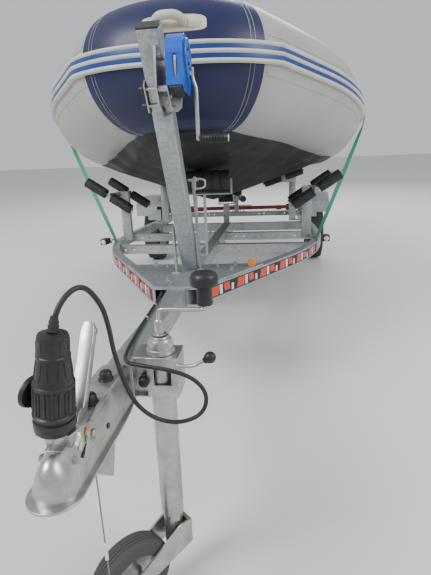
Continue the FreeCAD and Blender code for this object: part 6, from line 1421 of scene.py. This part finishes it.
class FACTORY_OT_frame_fittings(bpy.types.Operator):
    """Round the frame's edges and fit its bolts, tie loops, shackle, cable ties, reflector and markers"""

    bl_idname = "factory.frame_fittings"
    bl_label = "Frame fittings"

    def execute(self, context):
        for row in SOFTENED:
            softened(*row)
        spots = [((x, y, 0.4705), Z)
                 for x, y in ((-0.189, 1.6), (0.203, 1.6), (-0.03, 1.219), (0.194, 1.5),
                              (0.063, 1.387), (-0.12, 1.56), (0.12, 1.56), (-0.063, 1.3))]
        for side in (-1, 1):
            for station in (1.25, 1.5):
                spots.append(((side * 0.036, station, 0.428), (side, 0, 0)))
            for station in (2.35, 2.89, 4.73):
                for x in (0.045, 0.085):
                    spots.append(((side * x, station, 0.4485), Z))
            for station, x in ((2.5, 0.645), (3.54, 0.615)):
                spots += [((side * x, station - 0.028, 0.4705), Z), ((side * x, station + 0.028, 0.4705), Z)]
            for station in (4.08, 4.22):
                spots.append(((side * 0.725, station, 0.463), Z))
        set_out("frame_bolts", "hex_bolt", spots, 0.017, 0.009)
        loops = Mould()
        for x, station in ((-0.69, 2.372), (0.69, 2.479)):
            line = [(x, station - 0.03, 0.461), (x, station - 0.03, 0.486), (x, station + 0.03, 0.486),
                    (x, station + 0.03, 0.461)]
            loops.rod(rounded(line, 0.018), 0.0045, 12)
        loops.rod([(0.03, 1.392, 0.874), (0.047, 1.392, 0.874)], 0.0058, 14)
        loops.rod([(0.058, 1.392, 0.874), (0.074, 1.388, 0.874)], 0.005, 14)
        bow = [(0.06, 1.372, 0.88), (0.082, 1.372, 0.88), (0.104, 1.374, 0.874), (0.104, 1.374, 0.846),
               (0.082, 1.372, 0.84), (0.06, 1.372, 0.84)]
        loops.rod(rounded(bow, 0.012), 0.0042, 12)
        loops.rod([(0.062, 1.372, 0.833), (0.062, 1.372, 0.888)], 0.005, 12)
        loops.made("tie_loops_and_shackle", "zinc_plated_steel")
        ties = Mould()
        for x, station, z in ((-0.0225, 0.828, 0.4683), (-0.0298, 0.961, 0.4685)):
            ties.ring((x, station, z), (0.13, -0.99, 0), box_outline((-0.0022, 0.0051), (0.0022, 0.0064)), 24)
            ties.rod([(x - 0.004, station, z + 0.005), (x - 0.02, station - 0.008, z + 0.011),
                      (x - 0.03, station - 0.02, z + 0.008)], 0.0011, 8)
        ties.made("cable_ties", "white_nylon", slot="black_plastic")
        sleeve = Mould()
        sleeve.turned((0.0391, 0.2458, 0.172), (0, -0.02, 1), ((0, 0.002), (0.0006, 0.0034), (0.04, 0.0034),
                                                               (0.0406, 0.002)), 16)
        sleeve.made("wire_sleeve", "white_nylon", slot="galvanised")
        amber = Mould()
        amber.turned((0.283, 1.569, 0.484), (0.3, -0.95, 0.1), ((0, 0.02), (0.004, 0.02), (0.006, 0.018),
                                                                (0.0065, 0.01)), 28)
        amber.made("amber_reflector", "amber_lens", bevel=0.001, slot="lamp_red")
        marker = Mould()
        for side in (-1, 1):
            low, high = sorted((side * 0.706, side * 0.748))
            marker.block((low, 2.29, 0.4625), (high, 2.37, 0.5), 0)
            marker.turned(((low + high) / 2, 2.2895, 0.481), (0, -1, 0),
                          ((0, 0.016), (0.004, 0.015), (0.0065, 0.01), (0.007, 0.004)), 24, 1)
        marker.made("front_markers", "black_abs", "clear_lens", bevel=0.0015)
        return {"FINISHED"}


# Side roller banks: station, hub x, rows' offsets, hub heights, slope in degrees
ROLLER_BANKS = ((2.5, 0.66, (-0.2, 0.22), 0.782, 33.0), (3.54, 0.5, (-0.19, 0.23), None, None))
ROLLER_PROFILE = (
    (-0.075, 0.012), (-0.0748, 0.024), (-0.0735, 0.029), (-0.07, 0.0312), (-0.066, 0.0318), (-0.064, 0.0296),
    (-0.06, 0.0296), (-0.058, 0.0318), (-0.03, 0.032), (0.03, 0.032), (0.058, 0.0318), (0.06, 0.0296),
    (0.064, 0.0296), (0.066, 0.0318), (0.07, 0.0312), (0.0735, 0.029), (0.0748, 0.024), (0.075, 0.012),
)


class FACTORY_OT_rollers(bpy.types.Operator):
    """Mould the black rubber rollers that carry the boat"""

    bl_idname = "factory.rollers"
    bl_label = "Rollers"

    def execute(self, context):
        for name, side in (("port", 1), ("starboard", -1)):
            bank = Mould()
            for station, x, offsets, height, slope in ROLLER_BANKS:
                for offset in offsets:
                    tilt, z = slope, height
                    if height is None:
                        wide, chine, keel = hull_row(station + offset)
                        tilt = degrees(atan((chine - keel) / wide))
                        z = keel + (chine - keel) * x / wide - 0.0325 / cos(radians(tilt))
                    way = Vector((cos(radians(tilt)) * side, 0, sin(radians(tilt))))
                    hub = Vector((x * side, station + offset, z))
                    for sign in (-1, 1):
                        bank.turned(hub + way * sign * 0.093, way, ROLLER_PROFILE, 36)
            bank.made("side_rollers_" + name + "_moulded", "black_roller_rubber", replaces=["side_rollers_" + name])
        keel = Mould()
        for station, length, radius in ((1.9, 0.33, 0.055), (3.4, 0.12, 0.038), (4.73, 0.12, 0.038)):
            wide, chine, level = hull_row(station)
            slope = (hull_row(station - 0.05)[2] - hull_row(station + 0.05)[2]) / 0.1
            z = level - radius - 0.0003 - radius * (sqrt(1 + slope * slope) - 1)
            half, profile = length / 2, []
            ribs = 7 if length > 0.2 else 5
            profile.append((-half, 0.012))
            for k in range(ribs):
                start, end = -half + length * k / ribs + 0.0015, -half + length * (k + 1) / ribs - 0.0015
                profile += [(start, radius - 0.004), (start + 0.003, radius), (end - 0.003, radius),
                            (end, radius - 0.004)]
            profile.append((half, 0.012))
            keel.turned((0, station, z), X, profile, 40)
        keel.made("keel_rollers_moulded", "black_roller_rubber", replaces=["keel_rollers"])
        return {"FINISHED"}


# Road wheel: centre; the tyre's section as (across, radius), half of it from bead to tread and its inside; hub cap
WHEEL_CENTRE = (0.85, 4.16, 0.286)
TYRE_HALF = (
    (-0.0565, 0.1662), (-0.059, 0.18), (-0.0735, 0.2), (-0.0745, 0.204), (-0.0735, 0.206), (-0.077, 0.223),
    (-0.077, 0.238), (-0.0745, 0.256), (-0.075, 0.258), (-0.069, 0.272), (-0.061, 0.279), (-0.04, 0.2806),
    (-0.038, 0.279), (-0.036, 0.2806), (-0.014, 0.2812), (-0.012, 0.2795), (-0.01, 0.2812),
)
TYRE_INSIDE = ((0.045, 0.1662), (0.04, 0.17), (-0.04, 0.17), (-0.045, 0.1662))
TREAD_ROWS, TREAD_COUNT = (-0.058, -0.025, 0.0, 0.025, 0.058), 64
BOLT_COUNT, BOLT_CIRCLE = 5, 0.05
HUB_CAP = ((0, 0.031), (0.003, 0.031), (0.004, 0.029), (0.016, 0.027), (0.021, 0.023), (0.023, 0.012),
           (0.0235, 0.003))


class FACTORY_OT_road_wheels(bpy.types.Operator):
    """Mould the tyres with their tread blocks, and fit the wheel bolts and hub caps"""

    bl_idname = "factory.road_wheels"
    bl_label = "Road wheels"

    def execute(self, context):
        for name, side in (("port", 1), ("starboard", -1)):
            hub = Vector((WHEEL_CENTRE[0] * side, *WHEEL_CENTRE[1:]))
            body = "wheel_" + name
            tyre = Mould()
            tyre.ring(hub, X, [*TYRE_HALF, *((-a, r) for a, r in reversed(TYRE_HALF)), *TYRE_INSIDE], 96)
            tyre.made(name + "_tyre", "tyre_rubber", body=body, crease=36, replaces=[body + "_tyre"])
            spots = []
            for row, across in enumerate(TREAD_ROWS):
                for k in range(TREAD_COUNT):
                    turn = tau * (k + 0.5 * (row % 2)) / TREAD_COUNT
                    out = Vector((0, cos(turn), sin(turn)))
                    reach = 0.282 if abs(across) < 0.05 else 0.2785
                    spots.append((hub + Vector((across, 0, 0)) + out * reach, out))
            set_out(name + "_tread_blocks", "tread_block", spots, 0.0215, 0.0065, "tyre_rubber", body=body)
            bolts = []
            for k in range(BOLT_COUNT):
                turn = tau * k / BOLT_COUNT + 0.3
                reach = Vector((side * 0.0285, BOLT_CIRCLE * cos(turn), BOLT_CIRCLE * sin(turn)))
                bolts.append((hub + reach, (side, 0, 0)))
            set_out(name + "_wheel_bolts", "hex_bolt", bolts, 0.019, 0.011, body=body)
            cap = Mould()
            cap.turned(hub + Vector((side * 0.0455, 0, 0)), (side, 0, 0), HUB_CAP, 32)
            cap.made(name + "_hub_cap", "zinc_plated_steel", body=body)
        return {"FINISHED"}


class FACTORY_OT_lamps(bpy.types.Operator):
    """Fit the tail lamps with their lenses, the triangles and the blank plate"""

    bl_idname = "factory.lamps"
    bl_label = "Tail lamps"

    def execute(self, context):
        housings, lenses = Mould(), Mould()
        for side in (-1, 1):
            low, high = sorted((side * 0.612, side * 0.798))
            housings.block((low, 5.2605, 0.388), (high, 5.29, 0.484))
            for a, b, finish in ((0.7, 0.795, 0), (0.642, 0.697, 1), (0.615, 0.639, 2)):
                low, high = sorted((side * a, side * b))
                lenses.block((low, 5.2895, 0.391), (high, 5.3035, 0.481), finish)
                for k in range(7):
                    z = 0.398 + 0.0125 * k
                    lenses.rod([(low + 0.004, 5.3036, z), (high - 0.004, 5.3036, z)], 0.0009, 6, finish)
            corners = [Vector((side * 0.52 + 0.046 * cos(radians(a)), 5.2615, 0.434 + 0.046 * sin(radians(a))))
                       for a in (90, 210, 330)]
            line = rounded([(corners[0] + corners[2]) / 2] + corners
                           + [(corners[0] + corners[2]) / 2], 0.01, 4)[:-1]
            lenses.cross_plate([(p.x, p.z) for p in line], 5.266, 0.0055, 0)
        housings.made("tail_lamp_housings", "black_abs", bevel=0.0035, replaces=["tail_lamps"])
        lenses.made("tail_lamp_lenses", "red_lens", "amber_lens", "clear_lens", bevel=0.0018, slot="lamp_red")
        plate = Mould()
        plate.block((-0.17, 5.261, 0.42), (0.17, 5.264, 0.486))
        plate.made("blank_plate", "white_nylon", bevel=0.001, slot="red_paint")
        set_out("plate_screws", "round_rivet", [((x, 5.264, 0.453), Y) for x in (-0.155, 0.155)], 0.01, 0.004)
        return {"FINISHED"}


class FACTORY_OT_stitches(bpy.types.Operator):
    """Sew the two rows of stitches beside each seam of the bow panel"""

    bl_idname = "factory.stitches"
    bl_label = "Stitches"

    def execute(self, context):
        pitch = context.scene.boat_sizes.stitch
        spots = []
        for side in (-1, 1):
            for along in (PANEL_SEAM - 0.02, PANEL_SEAM - 0.03):
                count = round(tau * TUBE_RADIUS / pitch)
                for k in range(count):
                    turn = tau * k / count
                    spot, ahead = skin(side * along, turn, 0.0033), skin(side * along, turn + 0.01, 0.0033)
                    spots.append((spot, ahead - spot))
        set_out("bow_panel_stitches", "stitch", spots, pitch * 0.62, 0.001, "white_nylon")
        return {"FINISHED"}


# Fittings of the tubes as (distance outward, radius), and where they sit: lengths along the tube, angle round it
VALVE = ((0, 0.034), (0.003, 0.034), (0.005, 0.031), (0.006, 0.022),
         (0.011, 0.021), (0.013, 0.018), (0.0135, 0.004))
END_CAP = ((0, 0.106), (0.0115, 0.1055), (0.0135, 0.101), (0.0128, 0.06), (0.011, 0.02), (0.011, 0.002))
LIFELINE_PATCH = ((0, 0.04), (0.0035, 0.04), (0.005, 0.036), (0.0055, 0.01))
VALVE_PLACES, VALVE_ANGLE = (1.05, TUBE_LINE[-1][0] - 0.55), radians(128)
LIFELINE_PLACES, LIFELINE_ANGLE = (1.3, 1.95, 2.6), radians(42)


class FACTORY_OT_boat_fittings(bpy.types.Operator):
    """Fit the tubes' valves, their end caps and the lifeline patches with their loops"""

    bl_idname = "factory.boat_fittings"
    bl_label = "Boat fittings"

    def execute(self, context):
        valves, caps, rings = Mould(), Mould(), Mould()
        for side in (-1, 1):
            for along in VALVE_PLACES:
                spot = skin(side * along, VALVE_ANGLE, 0.0)
                out = (spot - tube_place(side * along)[0]).normalized()
                valves.turned(spot - out * 0.002, out, VALVE, 36)
            tail = tube_place(side * TUBE_LINE[-1][0])[0]
            caps.turned(tail + Vector((0, 0.312, 0)), Y, END_CAP, 48)
            for along in LIFELINE_PLACES:
                spot, before, after = (skin(side * (along + shift), LIFELINE_ANGLE, 0.001)
                                       for shift in (0, -0.035, 0.035))
                out = (spot - tube_place(side * along)[0]).normalized()
                rings.turned(spot - out * 0.003, out, LIFELINE_PATCH, 32)
                crown = [before.lerp(after, share) + out * 0.018 for share in (0.18, 0.82)]
                rings.rod(rounded([before - out * 0.002, *crown, after - out * 0.002], 0.014), 0.0045, 12)
        valves.made("tube_valves", "black_abs")
        caps.made("tail_end_caps", "black_abs")
        rings.made("lifeline_patches", "grey_pvc_fabric")
        return {"FINISHED"}


# Camera fitted to the photograph: lens in mm, place on the level trailer; yaw, drop and roll
CAMERA_LENS, CAMERA_SPOT = 26.1, (0.3515, -0.3732, 0.8967)
CAMERA_TURNS = [radians(angle) for angle in (7.18, 15.26, 2.09)]

# Lights: name, place, aim, diameter, watts
LIGHTS = (
    ("key", (-4.5, -5.5, 6.5), (0, 0, 0.6), 4.0, 620),
    ("fill", (5.5, -3.0, 4.5), (0, 0, 0.7), 4.0, 260),
    ("back", (1.0, 7.0, 6.0), (0, 0, 0.8), 4.0, 320),
)


class FACTORY_OT_stage(bpy.types.Operator):
    """Lay the pale floor, hang the soft lights and set up the camera"""

    bl_idname = "factory.stage"
    bl_label = "Floor, lights and camera"

    def execute(self, context):
        scene = context.scene
        mesh = bpy.data.meshes.new("floor")
        half = 40.0
        mesh.from_pydata([(-half, -half, 0), (half, -half, 0), (half, half, 0), (-half, half, 0)], [],
                         [(0, 1, 2, 3)])
        floor = bpy.data.objects.new("floor", mesh)
        scene.collection.objects.link(floor)
        paper, _, shader = begin("studio_paper", {"Base Color": linear("#d9d9d6"), "Roughness": 0.9})
        mesh.materials.append(paper)
        world = bpy.data.worlds.new("studio")
        world.use_nodes = True
        world.node_tree.nodes["Background"].inputs["Color"].default_value = linear("#eef1f4")
        world.node_tree.nodes["Background"].inputs["Strength"].default_value = 0.75
        scene.world = world
        for name, spot, target, size, power in LIGHTS:
            lamp = bpy.data.lights.new(name, "AREA")
            lamp.shape = "DISK"
            lamp.size = size
            lamp.energy = power
            holder = bpy.data.objects.new(name, lamp)
            holder.location = spot
            holder.rotation_euler = (Vector(target) - Vector(spot)).to_track_quat("-Z", "Y").to_euler()
            scene.collection.objects.link(holder)
        camera = bpy.data.cameras.new("camera")
        camera.lens = CAMERA_LENS
        camera.clip_start = 0.01
        holder = bpy.data.objects.new("camera", camera)
        scene.collection.objects.link(holder)
        yaw, drop, roll = CAMERA_TURNS
        ahead = Vector((-sin(yaw) * cos(drop), cos(yaw) * cos(drop), -sin(drop)))
        right = Vector((cos(yaw), sin(yaw), 0))
        down = ahead.cross(right)
        right, down = (right * cos(roll) + down * sin(roll), down * cos(roll) - right * sin(roll))
        axes = Matrix((pitched(*right), pitched(*-down), pitched(*-ahead))).transposed()
        holder.matrix_world = Matrix.Translation(at(*CAMERA_SPOT)) @ axes.to_4x4()
        scene.camera = holder
        return {"FINISHED"}


class BoatSizes(bpy.types.PropertyGroup):
    """Sizes of the fittings that a maker would change"""

    seam_tape: bpy.props.FloatProperty(name="Seam tape", description="Width of the tape over a tube's seam",
                                       default=0.035, min=0.01, max=0.08, unit="LENGTH")
    stripe: bpy.props.FloatProperty(name="Stripe", description="Width of each blue stripe on the strake",
                                    default=0.015, min=0.005, max=0.018, unit="LENGTH")
    stitch: bpy.props.FloatProperty(name="Stitch", description="Pitch of the stitches in the bow panel",
                                    default=0.007, min=0.003, max=0.02, unit="LENGTH")
    webbing: bpy.props.FloatProperty(name="Webbing", description="Width of the tie-down strap",
                                     default=0.025, min=0.02, max=0.035, unit="LENGTH")


OPERATORS = (
    FACTORY_OT_finishes, FACTORY_OT_plug, FACTORY_OT_cords, FACTORY_OT_tubes, FACTORY_OT_strake,
    FACTORY_OT_bottom, FACTORY_OT_bow_handle, FACTORY_OT_tie_strap, FACTORY_OT_winch, FACTORY_OT_coupling,
    FACTORY_OT_jockey, FACTORY_OT_rail_tape, FACTORY_OT_frame_fittings, FACTORY_OT_rollers,
    FACTORY_OT_road_wheels, FACTORY_OT_lamps, FACTORY_OT_stitches, FACTORY_OT_boat_fittings,
    FACTORY_OT_stage,
)


class FACTORY_PT_boat(bpy.types.Panel):
    """The boat's build steps, in order"""

    bl_idname = "FACTORY_PT_boat"
    bl_label = "Boat on a trailer"
    bl_space_type = "VIEW_3D"
    bl_region_type = "UI"
    bl_category = "Boat"

    def draw(self, context):
        for operator in OPERATORS:
            self.layout.operator(operator.bl_idname)


CLASSES = (BoatSizes,) + OPERATORS + (FACTORY_PT_boat,)


def register():
    for item in CLASSES:
        bpy.utils.register_class(item)
    bpy.types.Scene.boat_sizes = bpy.props.PointerProperty(type=BoatSizes)


def unregister():
    del bpy.types.Scene.boat_sizes
    for item in reversed(CLASSES):
        bpy.utils.unregister_class(item)


def main():
    register()
    for operator in OPERATORS:
        group, name = operator.bl_idname.split(".")
        getattr(getattr(bpy.ops, group), name)()


if __name__ == "__main__":
    main()
